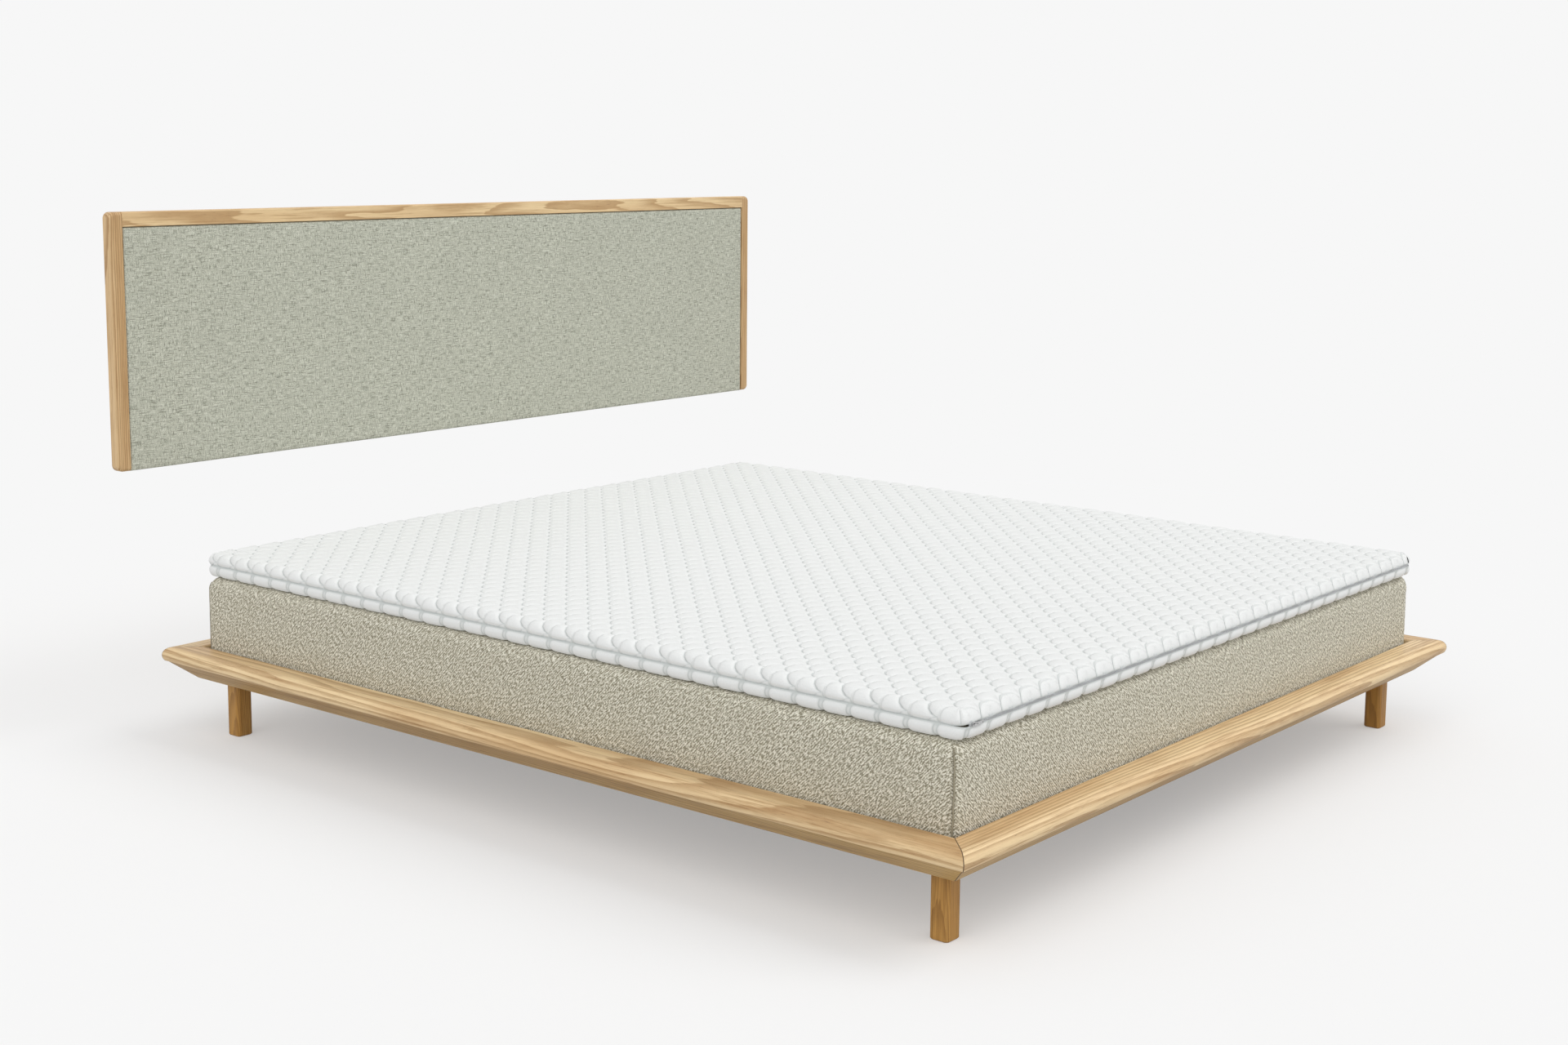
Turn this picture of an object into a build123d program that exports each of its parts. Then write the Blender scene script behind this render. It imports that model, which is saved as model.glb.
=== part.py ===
from build123d import *
from math import acos, degrees, sqrt
import os

os.makedirs("parts", exist_ok=True)

# A continental bed: an oak frame on short legs, a sprung mattress that drops into
# the frame, a zipped quilted topper on it, and an upholstered headboard that hangs
# on the wall behind. Millimetres, +Z up, X across the bed, +Y towards the head.
# The origin is on the floor, under the middle of the whole set.

# Mattress and topper
mattress_width = 1800
mattress_length = 2000
mattress_height = 190
mattress_corner_radius = 30
mattress_edge_radius = 22
topper_side_gap = 8
topper_end_lap = 6
topper_height = 51
topper_corner_radius = 24
topper_edge_radius = 20
soft_gap = 0.3

# Oak frame
recess_clearance = 5
recess_depth = 35
rail_width = 62
board_height = 30
apron_height = 40
apron_clear_height = 130
nose_top_radius = 18
nose_under_radius = 20
apron_step = 3
apron_sole = 8
mitre_gap = 0.2
leg_size = 40
leg_inset = 95
leg_edge_radius = 9
leg_foot_ease = 2.5
plate_size = 70

# Slatted base
slat_thickness = 15
slat_width = 70
slat_gap = 50
slat_end_gap = 12
slat_side_gap = 4
slat_edge_ease = 3
webbing_width = 30
webbing_thickness = 0.8
webbing_from_beam = 230
webbing_from_block = 115
ledger_width = 30
block_nose = 50
block_margin = 14
beam_width = 40
beam_wall = 1.5
centre_leg_spacing = 500
centre_leg_radius = 15

# Headboard, and the wall that it hangs on
wall_gap = 56
headboard_overhang = 68
headboard_height = 555
headboard_bottom = 590
stile_width = 30
top_rail_height = 31
panel_gap = 1.5
rebate_width = 8
pad_recess = 1
linen_thickness = 1
pad_foam_thickness = 8
pad_board_thickness = 3
back_board_thickness = 7
hanger_length = 150
hanger_from_end = 435
hanger_thickness = 1.6
hook_gap = 0.6

# Fixings and play
thread_gap = 0.1
dowel_radius = 4
wood_screw_radius = 2
bolt_radius = 4

# Worked out from the sizes above
up = Vector(0, 0, 1)
bed_y = -wall_gap / 2
bed_centre = Vector(0, bed_y, 0)
inner_half_x = mattress_width / 2 + recess_clearance
inner_half_y = mattress_length / 2 + recess_clearance
frame_half_x = inner_half_x + rail_width
frame_half_y = inner_half_y + rail_width
apron_top = apron_clear_height + apron_height
frame_top = apron_top + board_height
platform_z = frame_top - recess_depth
slat_bottom = platform_z - slat_thickness
support_height = slat_bottom - apron_clear_height
leg_inset_middle = leg_inset + leg_size / 2
plate_far_edge = leg_inset_middle - rail_width + plate_size / 2
block_length = 2 * plate_far_edge + block_margin - block_nose
mattress_bottom = platform_z + soft_gap
mattress_top = mattress_bottom + mattress_height
topper_width = mattress_width - 2 * topper_side_gap
topper_length = mattress_length + 2 * topper_end_lap
topper_bottom = mattress_top + soft_gap
topper_top = topper_bottom + topper_height
wall_y = bed_y + frame_half_y + wall_gap

corners = {
    "foot_left": (-1, -1),
    "foot_right": (1, -1),
    "head_left": (-1, 1),
    "head_right": (1, 1),
}


def save(piece, name):
    """Label a finished piece and write it."""
    piece.label = name
    export_step(piece, f"parts/{name}.step")


def screw(length, shank_radius, head_radius):
    """A countersunk screw: its head's flat top is at the origin and it points down -Z."""
    with BuildPart() as one:
        with BuildSketch(Plane.XZ):
            with BuildLine():
                cone = head_radius - shank_radius
                Polyline(
                    (0, 0),
                    (head_radius, 0),
                    (shank_radius, -cone),
                    (shank_radius, -length + shank_radius),
                    (0, -length),
                    close=True,
                )
            make_face()
        revolve(axis=Axis.Z)
    return one.part


def screw_hole(length, shank_radius, head_radius):
    """The space that such a screw needs, made with the same play all round."""
    return screw(length + thread_gap, shank_radius + thread_gap, head_radius + thread_gap)


def seat(x, y, z, down):
    """A screw's place: its head's top is at the point, and it is driven along `down`."""
    return Plane(origin=(x, y, z), z_dir=-Vector(*down))


# Oak top boards and bevelled aprons, mitred at the corners

nose_z = frame_top - nose_top_radius
lip_drop = nose_z - apron_top
lip_angle = degrees(acos(sqrt(nose_under_radius**2 - lip_drop**2) / nose_under_radius))
lip_inset = nose_under_radius - sqrt(nose_under_radius**2 - lip_drop**2)
board_inner_ease = 2
dowel_length = 36
dowel_insets = (30, 49)
dowel_z = apron_top + board_height / 2

sides = {
    "left": (Vector(1, 0, 0), frame_half_x, frame_half_y),
    "right": (Vector(-1, 0, 0), frame_half_x, frame_half_y),
    "foot": (Vector(0, 1, 0), frame_half_y, frame_half_x),
    "head": (Vector(0, -1, 0), frame_half_y, frame_half_x),
}

dowel_places = [
    Plane(
        origin=(sx * (frame_half_x - inset), bed_y + sy * (frame_half_y - inset), dowel_z),
        z_dir=(-sx, sy, 0),
    )
    for sx, sy in corners.values()
    for inset in dowel_insets
]


def mitre(nose, inward, along, half_length):
    """Cut both ends of a rail at 45 degrees, a hair short of its neighbours."""
    for end in (1, -1):
        corner = nose + along * end * (half_length - mitre_gap)
        split(bisect_by=Plane(origin=corner, z_dir=inward + along * end), keep=Keep.BOTTOM)


ledger_screw_length = 45
ledger_screw_head = 4
ledger_screw_count = 7
ledger_length = 2 * (inner_half_y - block_length - soft_gap)
ledger_screw_pitch = ledger_length / ledger_screw_count
ledger_screw_z = apron_clear_height + support_height / 2
ledger_screw_places = [
    seat(
        side * (inner_half_x - ledger_width),
        bed_y + (i - (ledger_screw_count - 1) / 2) * ledger_screw_pitch,
        ledger_screw_z,
        (side, 0, 0),
    )
    for side in (-1, 1)
    for i in range(ledger_screw_count)
]

hanger_sheet = 1.5
cradle_ear = 18
cradle_length = 30
cradle_screw_length = 16
cradle_screw_head = 3.6
cradle_half = beam_width / 2 + soft_gap + hanger_sheet
cradle_screw_places = [
    seat(
        side * (cradle_half + cradle_ear / 2),
        bed_y + end * (inner_half_y - hanger_sheet),
        slat_bottom - support_height / 2,
        (0, end, 0),
    )
    for end in (-1, 1)
    for side in (-1, 1)
]

for side, (inward, reach, half_length) in sides.items():
    along = inward.cross(up)
    nose = bed_centre - inward * reach
    section = Plane(origin=nose, x_dir=inward, z_dir=along)

    with BuildPart() as board:
        with BuildSketch(section):
            with BuildLine():
                CenterArc((nose_top_radius, nose_z), nose_top_radius, 90, 90)
                CenterArc((nose_under_radius, nose_z), nose_under_radius, 180, lip_angle)
                Polyline(
                    (lip_inset, apron_top),
                    (rail_width, apron_top),
                    (rail_width, frame_top - board_inner_ease),
                    (rail_width - board_inner_ease, frame_top),
                    (nose_top_radius, frame_top),
                )
            make_face()
        extrude(amount=half_length, both=True)
        mitre(nose, inward, along, half_length)
        with Locations(*dowel_places):
            Cylinder(
                dowel_radius + thread_gap, dowel_length + 2, mode=Mode.SUBTRACT
            )
    save(board.part, f"top_board_{side}")

    with BuildPart() as apron:
        with BuildSketch(section):
            with BuildLine():
                Polyline(
                    (lip_inset + apron_step, apron_top),
                    (rail_width - apron_sole, apron_clear_height),
                    (rail_width, apron_clear_height),
                    (rail_width, apron_top),
                    close=True,
                )
            make_face()
        extrude(amount=half_length, both=True)
        mitre(nose, inward, along, half_length)
        if side in ("left", "right"):
            with Locations(*ledger_screw_places):
                add(
                    screw_hole(ledger_screw_length, wood_screw_radius, ledger_screw_head),
                    mode=Mode.SUBTRACT,
                )
        else:
            with Locations(*cradle_screw_places):
                add(
                    screw_hole(cradle_screw_length, wood_screw_radius, cradle_screw_head),
                    mode=Mode.SUBTRACT,
                )
    save(apron.part, f"apron_{side}")

with BuildPart() as mitre_dowels:
    with Locations(*dowel_places):
        Cylinder(dowel_radius, dowel_length)
save(mitre_dowels.part, "mitre_dowels")

# Where the slats lie, and the screws that hold the first and last of each bank

slat_run = 2 * (inner_half_y - slat_end_gap) - slat_width
slats_in_a_bank = round(slat_run / (slat_width + slat_gap)) + 1
slat_pitch = slat_run / (slats_in_a_bank - 1)
slat_inner_end = 2
slat_length = inner_half_x - slat_side_gap - slat_inner_end
slat_middle_x = slat_inner_end + slat_length / 2
slat_places_y = [bed_y - slat_run / 2 + i * slat_pitch for i in range(slats_in_a_bank)]
end_slats_y = (slat_places_y[0], slat_places_y[-1])
slat_screw_length = 32
slat_screw_head = 4
slat_screw_from_bolt = 8
slat_screw_outer = frame_half_x - leg_inset_middle + slat_screw_from_bolt
slat_screw_inner = beam_width / 4


def slat_screw_places(bank):
    """Two screws in the first and the last slat of a bank: block end and beam end."""
    return [
        seat(bank * x, y, platform_z, (0, 0, -1))
        for y in end_slats_y
        for x in (slat_screw_inner, slat_screw_outer)
    ]


# Legs, their plates, bolts and screws, and the corner blocks that carry them

plate_thickness = 3
plate_hole_offset = 26
plate_screw_length = 18
plate_screw_head = 4
bolt_in_leg = 38
bolt_above_plate = 14
bolt_length = bolt_in_leg + plate_thickness + bolt_above_plate
block_bolt_clearance = 2
leg_height = apron_clear_height - plate_thickness


def leg_middle(sx, sy, z):
    """A point on a leg's centre line."""
    return (sx * (frame_half_x - leg_inset_middle), bed_y + sy * (frame_half_y - leg_inset_middle), z)


def plate_screw_places(sx, sy):
    """The four screws that hold one leg plate up against its block."""
    x, y, _ = leg_middle(sx, sy, 0)
    return [
        seat(x + i * plate_hole_offset, y + j * plate_hole_offset, leg_height, (0, 0, 1))
        for i in (-1, 1)
        for j in (-1, 1)
    ]


all_plate_screws = [place for sx, sy in corners.values() for place in plate_screw_places(sx, sy)]

for corner, (sx, sy) in corners.items():
    with BuildPart() as leg:
        with BuildSketch(Plane(leg_middle(sx, sy, 0))):
            RectangleRounded(leg_size, leg_size, leg_edge_radius)
        extrude(amount=leg_height)
        chamfer(leg.faces().sort_by(Axis.Z)[0].edges(), leg_foot_ease)
        with Locations(leg_middle(sx, sy, leg_height - bolt_in_leg / 2)):
            Cylinder(bolt_radius + thread_gap, bolt_in_leg, mode=Mode.SUBTRACT)
    save(leg.part, f"leg_{corner}")

    with BuildPart() as block:
        inside_corner = Plane(
            origin=(sx * inner_half_x, bed_y + sy * inner_half_y, apron_clear_height)
        )
        with BuildSketch(inside_corner):
            with BuildLine():
                Polyline(
                    (0, 0),
                    (-sx * block_length, 0),
                    (-sx * block_length, -sy * block_nose),
                    (-sx * block_nose, -sy * block_length),
                    (0, -sy * block_length),
                    close=True,
                )
            make_face()
        extrude(amount=support_height)
        with Locations(leg_middle(sx, sy, apron_clear_height + support_height / 2)):
            Cylinder(
                bolt_radius + block_bolt_clearance, support_height, mode=Mode.SUBTRACT
            )
        with Locations(*plate_screw_places(sx, sy)):
            add(
                screw_hole(plate_screw_length, wood_screw_radius, plate_screw_head),
                mode=Mode.SUBTRACT,
            )
        with Locations(*slat_screw_places(sx)):
            add(
                screw_hole(slat_screw_length, wood_screw_radius, slat_screw_head),
                mode=Mode.SUBTRACT,
            )
    save(block.part, f"corner_block_{corner}")

with BuildPart() as leg_plates:
    with Locations(*[leg_middle(sx, sy, leg_height) for sx, sy in corners.values()]):
        Box(plate_size, plate_size, plate_thickness, align=(Align.CENTER, Align.CENTER, Align.MIN))
        Cylinder(
            bolt_radius + thread_gap,
            plate_thickness,
            align=(Align.CENTER, Align.CENTER, Align.MIN),
            mode=Mode.SUBTRACT,
        )
    with Locations(*all_plate_screws):
        add(
            screw_hole(plate_screw_length, wood_screw_radius, plate_screw_head),
            mode=Mode.SUBTRACT,
        )
save(leg_plates.part, "leg_plates")

with BuildPart() as leg_bolts:
    with Locations(*[leg_middle(sx, sy, leg_height - bolt_in_leg) for sx, sy in corners.values()]):
        Cylinder(bolt_radius, bolt_length, align=(Align.CENTER, Align.CENTER, Align.MIN))
save(leg_bolts.part, "leg_bolts")

with BuildPart() as leg_plate_screws:
    with Locations(*all_plate_screws):
        add(screw(plate_screw_length, wood_screw_radius, plate_screw_head))
save(leg_plate_screws.part, "leg_plate_screws")

# Slatted base: ledgers, centre beam in two cradles, three centre legs, two banks of slats

for name, side in (("ledger_left", -1), ("ledger_right", 1)):
    with BuildPart() as ledger:
        with Locations((side * (inner_half_x - ledger_width / 2), bed_y, ledger_screw_z)):
            Box(ledger_width, ledger_length, support_height)
        with Locations(*ledger_screw_places):
            add(
                screw_hole(ledger_screw_length, wood_screw_radius, ledger_screw_head),
                mode=Mode.SUBTRACT,
            )
    save(ledger.part, name)

with BuildPart() as ledger_screws:
    with Locations(*ledger_screw_places):
        add(screw(ledger_screw_length, wood_screw_radius, ledger_screw_head))
save(ledger_screws.part, "ledger_screws")

centre_plate = 3
centre_plate_length = 60
centre_screw_offset = 22
centre_screw_length = 12
centre_screw_head = 3.6
centre_leg_wall = 1.5
centre_foot_wall = 2.5
centre_foot_floor = 4
centre_foot_height = 16
centre_plate_margin = 4
centre_leg_top = apron_clear_height - centre_plate
centre_legs = {
    "foot_end": -centre_leg_spacing,
    "middle": 0,
    "head_end": centre_leg_spacing,
}
centre_screw_places = [
    seat(0, bed_y + offset + end * centre_screw_offset, centre_leg_top, (0, 0, 1))
    for offset in centre_legs.values()
    for end in (-1, 1)
]

with BuildPart() as centre_beam:
    beam_length = 2 * (inner_half_y - hanger_sheet - soft_gap)
    with Locations((0, bed_y, apron_clear_height + support_height / 2)):
        Box(beam_width, beam_length, support_height)
        Box(
            beam_width - 2 * beam_wall,
            beam_length,
            support_height - 2 * beam_wall,
            mode=Mode.SUBTRACT,
        )
    with Locations(*centre_screw_places):
        add(
            screw_hole(centre_screw_length, wood_screw_radius, centre_screw_head),
            mode=Mode.SUBTRACT,
        )
    for bank in (-1, 1):
        with Locations(*slat_screw_places(bank)):
            add(
                screw_hole(slat_screw_length, wood_screw_radius, slat_screw_head),
                mode=Mode.SUBTRACT,
            )
save(centre_beam.part, "centre_beam")

with BuildPart() as beam_cradles:
    for end in (-1, 1):
        face_y = bed_y + end * inner_half_y
        low = apron_clear_height - hanger_sheet
        with Locations((0, face_y - end * cradle_length / 2, low + hanger_sheet / 2)):
            Box(2 * cradle_half, cradle_length, hanger_sheet)
        with Locations(
            *[
                (x, face_y - end * cradle_length / 2, low + (support_height + hanger_sheet) / 2)
                for x in (hanger_sheet / 2 - cradle_half, cradle_half - hanger_sheet / 2)
            ]
        ):
            Box(hanger_sheet, cradle_length, support_height + hanger_sheet)
        with Locations((0, face_y - end * hanger_sheet / 2, low + (support_height + hanger_sheet) / 2)):
            Box(2 * (cradle_half + cradle_ear), hanger_sheet, support_height + hanger_sheet)
    with Locations(*cradle_screw_places):
        add(
            screw_hole(cradle_screw_length, wood_screw_radius, cradle_screw_head),
            mode=Mode.SUBTRACT,
        )
save(beam_cradles.part, "beam_cradles")

with BuildPart() as beam_screws:
    with Locations(*cradle_screw_places):
        add(screw(cradle_screw_length, wood_screw_radius, cradle_screw_head))
    with Locations(*centre_screw_places):
        add(screw(centre_screw_length, wood_screw_radius, centre_screw_head))
save(beam_screws.part, "beam_screws")

for place, offset in centre_legs.items():
    with BuildPart() as centre_leg:
        with BuildSketch(Plane((0, bed_y + offset, centre_foot_floor))):
            Circle(centre_leg_radius)
            Circle(centre_leg_radius - centre_leg_wall, mode=Mode.SUBTRACT)
        extrude(amount=centre_leg_top - centre_foot_floor)
        with Locations((0, bed_y + offset, centre_leg_top + centre_plate / 2)):
            Box(beam_width - 2 * centre_plate_margin, centre_plate_length, centre_plate)
        with Locations(*centre_screw_places):
            add(
                screw_hole(centre_screw_length, wood_screw_radius, centre_screw_head),
                mode=Mode.SUBTRACT,
            )
    save(centre_leg.part, f"centre_leg_{place}")

with BuildPart() as centre_feet:
    for offset in centre_legs.values():
        with BuildSketch(Plane((0, bed_y + offset, 0))):
            Circle(centre_leg_radius + centre_foot_wall)
        extrude(amount=centre_foot_height)
        with BuildSketch(Plane((0, bed_y + offset, centre_foot_floor))):
            Circle(centre_leg_radius + thread_gap)
        extrude(amount=centre_foot_height, mode=Mode.SUBTRACT)
save(centre_feet.part, "centre_feet")

for name, bank in (("slats_left", -1), ("slats_right", 1)):
    with BuildPart() as slats:
        with BuildSketch(Plane.YZ.offset(bank * slat_middle_x)):
            with Locations(*[(y, platform_z - slat_thickness / 2) for y in slat_places_y]):
                RectangleRounded(slat_width, slat_thickness, slat_edge_ease)
        extrude(amount=slat_length / 2, both=True)
        with Locations(*slat_screw_places(bank)):
            add(
                screw_hole(slat_screw_length, wood_screw_radius, slat_screw_head),
                mode=Mode.SUBTRACT,
            )
    save(slats.part, name)

webbing_near = beam_width / 2 + webbing_from_beam
webbing_far = inner_half_x - block_length - webbing_from_block

with BuildPart() as slat_webbing:
    with Locations(
        *[
            (bank * x, bed_y, slat_bottom - webbing_thickness / 2)
            for bank in (-1, 1)
            for x in (webbing_near, webbing_far)
        ]
    ):
        Box(webbing_width, slat_run + slat_width, webbing_thickness)
save(slat_webbing.part, "slat_webbing")

with BuildPart() as slat_screws:
    for bank in (-1, 1):
        with Locations(*slat_screw_places(bank)):
            add(screw(slat_screw_length, wood_screw_radius, slat_screw_head))
save(slat_screws.part, "slat_screws")

# Soft blocks: the mattress and the topper are rounded boxes with a stuffed inside


def soft_box(width, length, low, high, corner_radius, edge_radius):
    """A closed block with rounded uprights and rounded top and bottom edges."""
    with BuildPart() as block:
        with BuildSketch(Plane((0, bed_y, low))):
            RectangleRounded(width, length, corner_radius)
        extrude(amount=high - low)
        fillet(block.faces().sort_by(Axis.Z)[0].edges(), edge_radius)
        fillet(block.faces().sort_by(Axis.Z)[-1].edges(), edge_radius)
    return block.part


def layer(low, high):
    """A wide slab between two heights, to cut one layer out of a soft block."""
    with BuildPart() as slab:
        with Locations((0, bed_y, (low + high) / 2)):
            Box(2 * mattress_width, 2 * mattress_length, high - low)
    return slab.part


def inset_box(width, length, low, high, corner_radius, edge_radius, inset):
    """The same block, smaller by one thickness all round."""
    return soft_box(
        width - 2 * inset,
        length - 2 * inset,
        low + inset,
        high - inset,
        corner_radius - inset,
        edge_radius - inset,
    )


# Mattress: cover, corner piping, foam base, foam border, pocket springs, felts, comfort foam

cover_thickness = 1.5
base_foam_height = 20
felt_thickness = 3
spring_height = 120
border_width = 80
spring_strips = 23
strip_gap = 0.5
piping_radius = 1.6

mattress_form = (
    mattress_width,
    mattress_length,
    mattress_bottom,
    mattress_top,
    mattress_corner_radius,
    mattress_edge_radius,
)
base_low = mattress_bottom + cover_thickness + soft_gap
base_high = base_low + base_foam_height
spring_low = base_high + felt_thickness
spring_high = spring_low + spring_height
comfort_low = spring_high + felt_thickness

with BuildPart() as mattress_cover:
    add(soft_box(*mattress_form))
    add(inset_box(*mattress_form, cover_thickness), mode=Mode.SUBTRACT)
save(mattress_cover.part, "mattress_cover")

with BuildPart() as mattress_base_foam:
    add(inset_box(*mattress_form, cover_thickness + soft_gap))
    add(layer(base_low - 1, base_high), mode=Mode.INTERSECT)
save(mattress_base_foam.part, "mattress_base_foam")

with BuildPart() as mattress_comfort_foam:
    add(inset_box(*mattress_form, cover_thickness + soft_gap))
    add(layer(comfort_low, mattress_top), mode=Mode.INTERSECT)
save(mattress_comfort_foam.part, "mattress_comfort_foam")

well_width = mattress_width - 2 * (cover_thickness + soft_gap + border_width)
well_length = mattress_length - 2 * (cover_thickness + soft_gap + border_width)

with BuildPart() as mattress_border_foam:
    add(inset_box(*mattress_form, cover_thickness + soft_gap))
    add(layer(base_high, comfort_low), mode=Mode.INTERSECT)
    with Locations((0, bed_y, (base_high + comfort_low) / 2)):
        Box(well_width, well_length, comfort_low - base_high, mode=Mode.SUBTRACT)
save(mattress_border_foam.part, "mattress_border_foam")

with BuildPart() as mattress_felts:
    with Locations(
        (0, bed_y, spring_low - felt_thickness / 2), (0, bed_y, spring_high + felt_thickness / 2)
    ):
        Box(well_width - 2 * soft_gap, well_length - 2 * soft_gap, felt_thickness)
save(mattress_felts.part, "mattress_felts")

# Each strip is one row of pocketed springs, drawn as the plain block that it fills
strip_pitch = (well_width - 2 * soft_gap) / spring_strips
strip_width = strip_pitch - strip_gap

with BuildPart() as mattress_springs:
    with BuildSketch(Plane((0, bed_y, spring_low))):
        with GridLocations(strip_pitch, 0, spring_strips, 1):
            RectangleRounded(strip_width, well_length - 2 * soft_gap, strip_width / 3)
    extrude(amount=spring_height)
save(mattress_springs.part, "mattress_springs")

with BuildPart() as mattress_corner_piping:
    piping_reach = mattress_corner_radius * (1 - 1 / sqrt(2))
    for sx, sy in corners.values():
        x = sx * (mattress_width / 2 - piping_reach)
        y = bed_y + sy * (mattress_length / 2 - piping_reach)
        with Locations((x, y, (mattress_bottom + mattress_top) / 2)):
            Cylinder(piping_radius, mattress_height - 2 * mattress_edge_radius)
    add(soft_box(*mattress_form), mode=Mode.SUBTRACT)
save(mattress_corner_piping.part, "mattress_corner_piping")

# Topper: two quilted half covers that meet at a seam, a foam core and a zip at the foot

quilt_thickness = 4
seam_z = topper_bottom + topper_height / 2
seam_ease = 2.5
topper_form = (
    topper_width,
    topper_length,
    topper_bottom,
    topper_top,
    topper_corner_radius,
    topper_edge_radius,
)
zip_end_gap = 22
zip_length = topper_width - 2 * zip_end_gap
zip_groove_height = 11
zip_groove_depth = 2
zip_tape_thickness = 0.8
zip_tape_play = 0.2
coil_width = 2.3
coil_gap = 0.2
coil_thickness = 1.6
topper_foot_y = bed_y - topper_length / 2
groove_back_y = topper_foot_y + zip_groove_depth
tape_front_y = groove_back_y - zip_tape_thickness
coil_front_y = tape_front_y - coil_thickness

with BuildPart() as zip_groove:
    with Locations((0, topper_foot_y + zip_groove_depth / 2, seam_z)):
        Box(zip_length, zip_groove_depth, zip_groove_height)

for name, low, high in (
    ("topper_cover_lower", topper_bottom - 1, seam_z),
    ("topper_cover_upper", seam_z, topper_top + 1),
):
    with BuildPart() as half_cover:
        add(soft_box(*topper_form))
        add(layer(low, high), mode=Mode.INTERSECT)
        rim = half_cover.faces().filter_by(Plane.XY).sort_by(lambda f: abs(f.center().Z - seam_z))[0]
        fillet(rim.edges(), seam_ease)
        add(inset_box(*topper_form, quilt_thickness), mode=Mode.SUBTRACT)
        add(zip_groove.part, mode=Mode.SUBTRACT)
    save(half_cover.part, name)

with BuildPart() as topper_foam:
    add(inset_box(*topper_form, quilt_thickness + soft_gap))
save(topper_foam.part, "topper_foam")

with BuildPart() as zip_tape:
    with Locations((0, groove_back_y - zip_tape_thickness / 2, seam_z)):
        Box(
            zip_length - 2 * zip_tape_play,
            zip_tape_thickness,
            zip_groove_height - 2 * zip_tape_play,
        )
save(zip_tape.part, "zip_tape")

with BuildPart() as zip_coil:
    with Locations(
        *[
            (0, tape_front_y - coil_thickness / 2, seam_z + side * (coil_gap + coil_width) / 2)
            for side in (-1, 1)
        ]
    ):
        Box(zip_length - 4 * zip_tape_play, coil_thickness, coil_width)
save(zip_coil.part, "zip_coil")

# Zip slider and its pull, parked at the near end of the zip

slider_length = 11
slider_plate = 1.5
slider_gap = 0.3
slider_flange = 1
slider_end_gap = 6
crown_width = 2
crown_sheet = 1
crown_window = 1.9
crown_length = 6
pull_length = 24
pull_width = 6
pull_thickness = 1.2
pull_bar_radius = 0.7
pull_play = 0.35
pull_hole_radius = 1.4

slider_x = -zip_length / 2 + slider_end_gap + slider_length / 2
coil_half = coil_gap / 2 + coil_width
flange_inner = coil_half + slider_gap
slider_half = flange_inner + slider_flange
plate_back_y = coil_front_y - slider_gap
plate_front_y = plate_back_y - slider_plate
pivot_y = plate_front_y - crown_window / 2
slider_round = 2.5

with BuildPart() as zip_slider:
    with BuildSketch(Plane.XZ.offset(-plate_back_y)):
        with Locations((slider_x, seam_z)):
            RectangleRounded(slider_length, 2 * slider_half, slider_round)
    extrude(amount=slider_plate)
    with Locations(
        *[
            (
                slider_x,
                plate_back_y + coil_thickness / 2,
                seam_z + side * (flange_inner + slider_flange / 2),
            )
            for side in (-1, 1)
        ]
    ):
        Box(slider_length - 2 * slider_round, coil_thickness, slider_flange)
    with BuildSketch(Plane.XY.offset(seam_z - crown_width / 2)):
        with Locations((slider_x, plate_front_y - (crown_window + crown_sheet) / 2)):
            Rectangle(crown_length + 2 * crown_sheet, crown_window + crown_sheet)
        with Locations((slider_x, plate_front_y - crown_window / 2)):
            Rectangle(crown_length, crown_window, mode=Mode.SUBTRACT)
    extrude(amount=crown_width)
save(zip_slider.part, "zip_slider")

with BuildPart() as zip_pull:
    arm_inner = crown_width / 2 + pull_play
    with BuildSketch(Plane.XZ.offset(-pivot_y - pull_thickness / 2)):
        with Locations((slider_x + pull_length / 2, seam_z)):
            RectangleRounded(pull_length, pull_width, pull_width / 3)
        with Locations((slider_x + (crown_length + pull_bar_radius) / 2, seam_z)):
            Rectangle(crown_length + 3 * pull_bar_radius, 2 * arm_inner, mode=Mode.SUBTRACT)
        with Locations((slider_x + pull_length - pull_width / 2, seam_z)):
            Circle(pull_hole_radius, mode=Mode.SUBTRACT)
    extrude(amount=pull_thickness)
    with Locations((slider_x, pivot_y, seam_z)):
        Cylinder(pull_bar_radius, 2 * arm_inner + 1)
save(zip_pull.part, "zip_pull")

# Headboard: two stiles, a top rail between them, a padded panel, a back board and hangers

headboard_width = 2 * (frame_half_x + headboard_overhang)
hanger_offset_x = headboard_width / 2 - hanger_from_end
hanger_space = 2 * hanger_thickness + 3 * hook_gap
pad_depth = pad_recess + linen_thickness + pad_foam_thickness + pad_board_thickness
headboard_depth = pad_depth + back_board_thickness + hanger_space
front_y = wall_y - headboard_depth
stile_front_radius = 8
stile_corner_radius = 14
rail_ease = 3
headboard_top = headboard_bottom + headboard_height
panel_top = headboard_top - top_rail_height - panel_gap
panel_half = headboard_width / 2 - stile_width - panel_gap
linen_front_y = front_y + pad_recess
foam_front_y = linen_front_y + linen_thickness
foam_back_y = foam_front_y + pad_foam_thickness
pad_back_y = foam_back_y + pad_board_thickness
back_board_y = pad_back_y + back_board_thickness
head_dowel_radius = 3
head_dowel_length = 46
head_dowel_in_stile = 20
head_dowel_y = front_y + (pad_back_y - front_y) / 2
head_dowel_rise = 8
rail_mid_z = headboard_top - top_rail_height / 2
back_screw_length = 10
back_screw_radius = 1.5
back_screw_head = 3
back_screws_up = 3
back_screws_across = 6

head_dowel_places = [
    Plane(
        origin=(
            side * (headboard_width / 2 - stile_width - head_dowel_length / 2 + head_dowel_in_stile),
            head_dowel_y,
            rail_mid_z + rise,
        ),
        z_dir=(1, 0, 0),
    )
    for side in (-1, 1)
    for rise in (-head_dowel_rise, head_dowel_rise)
]

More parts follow.
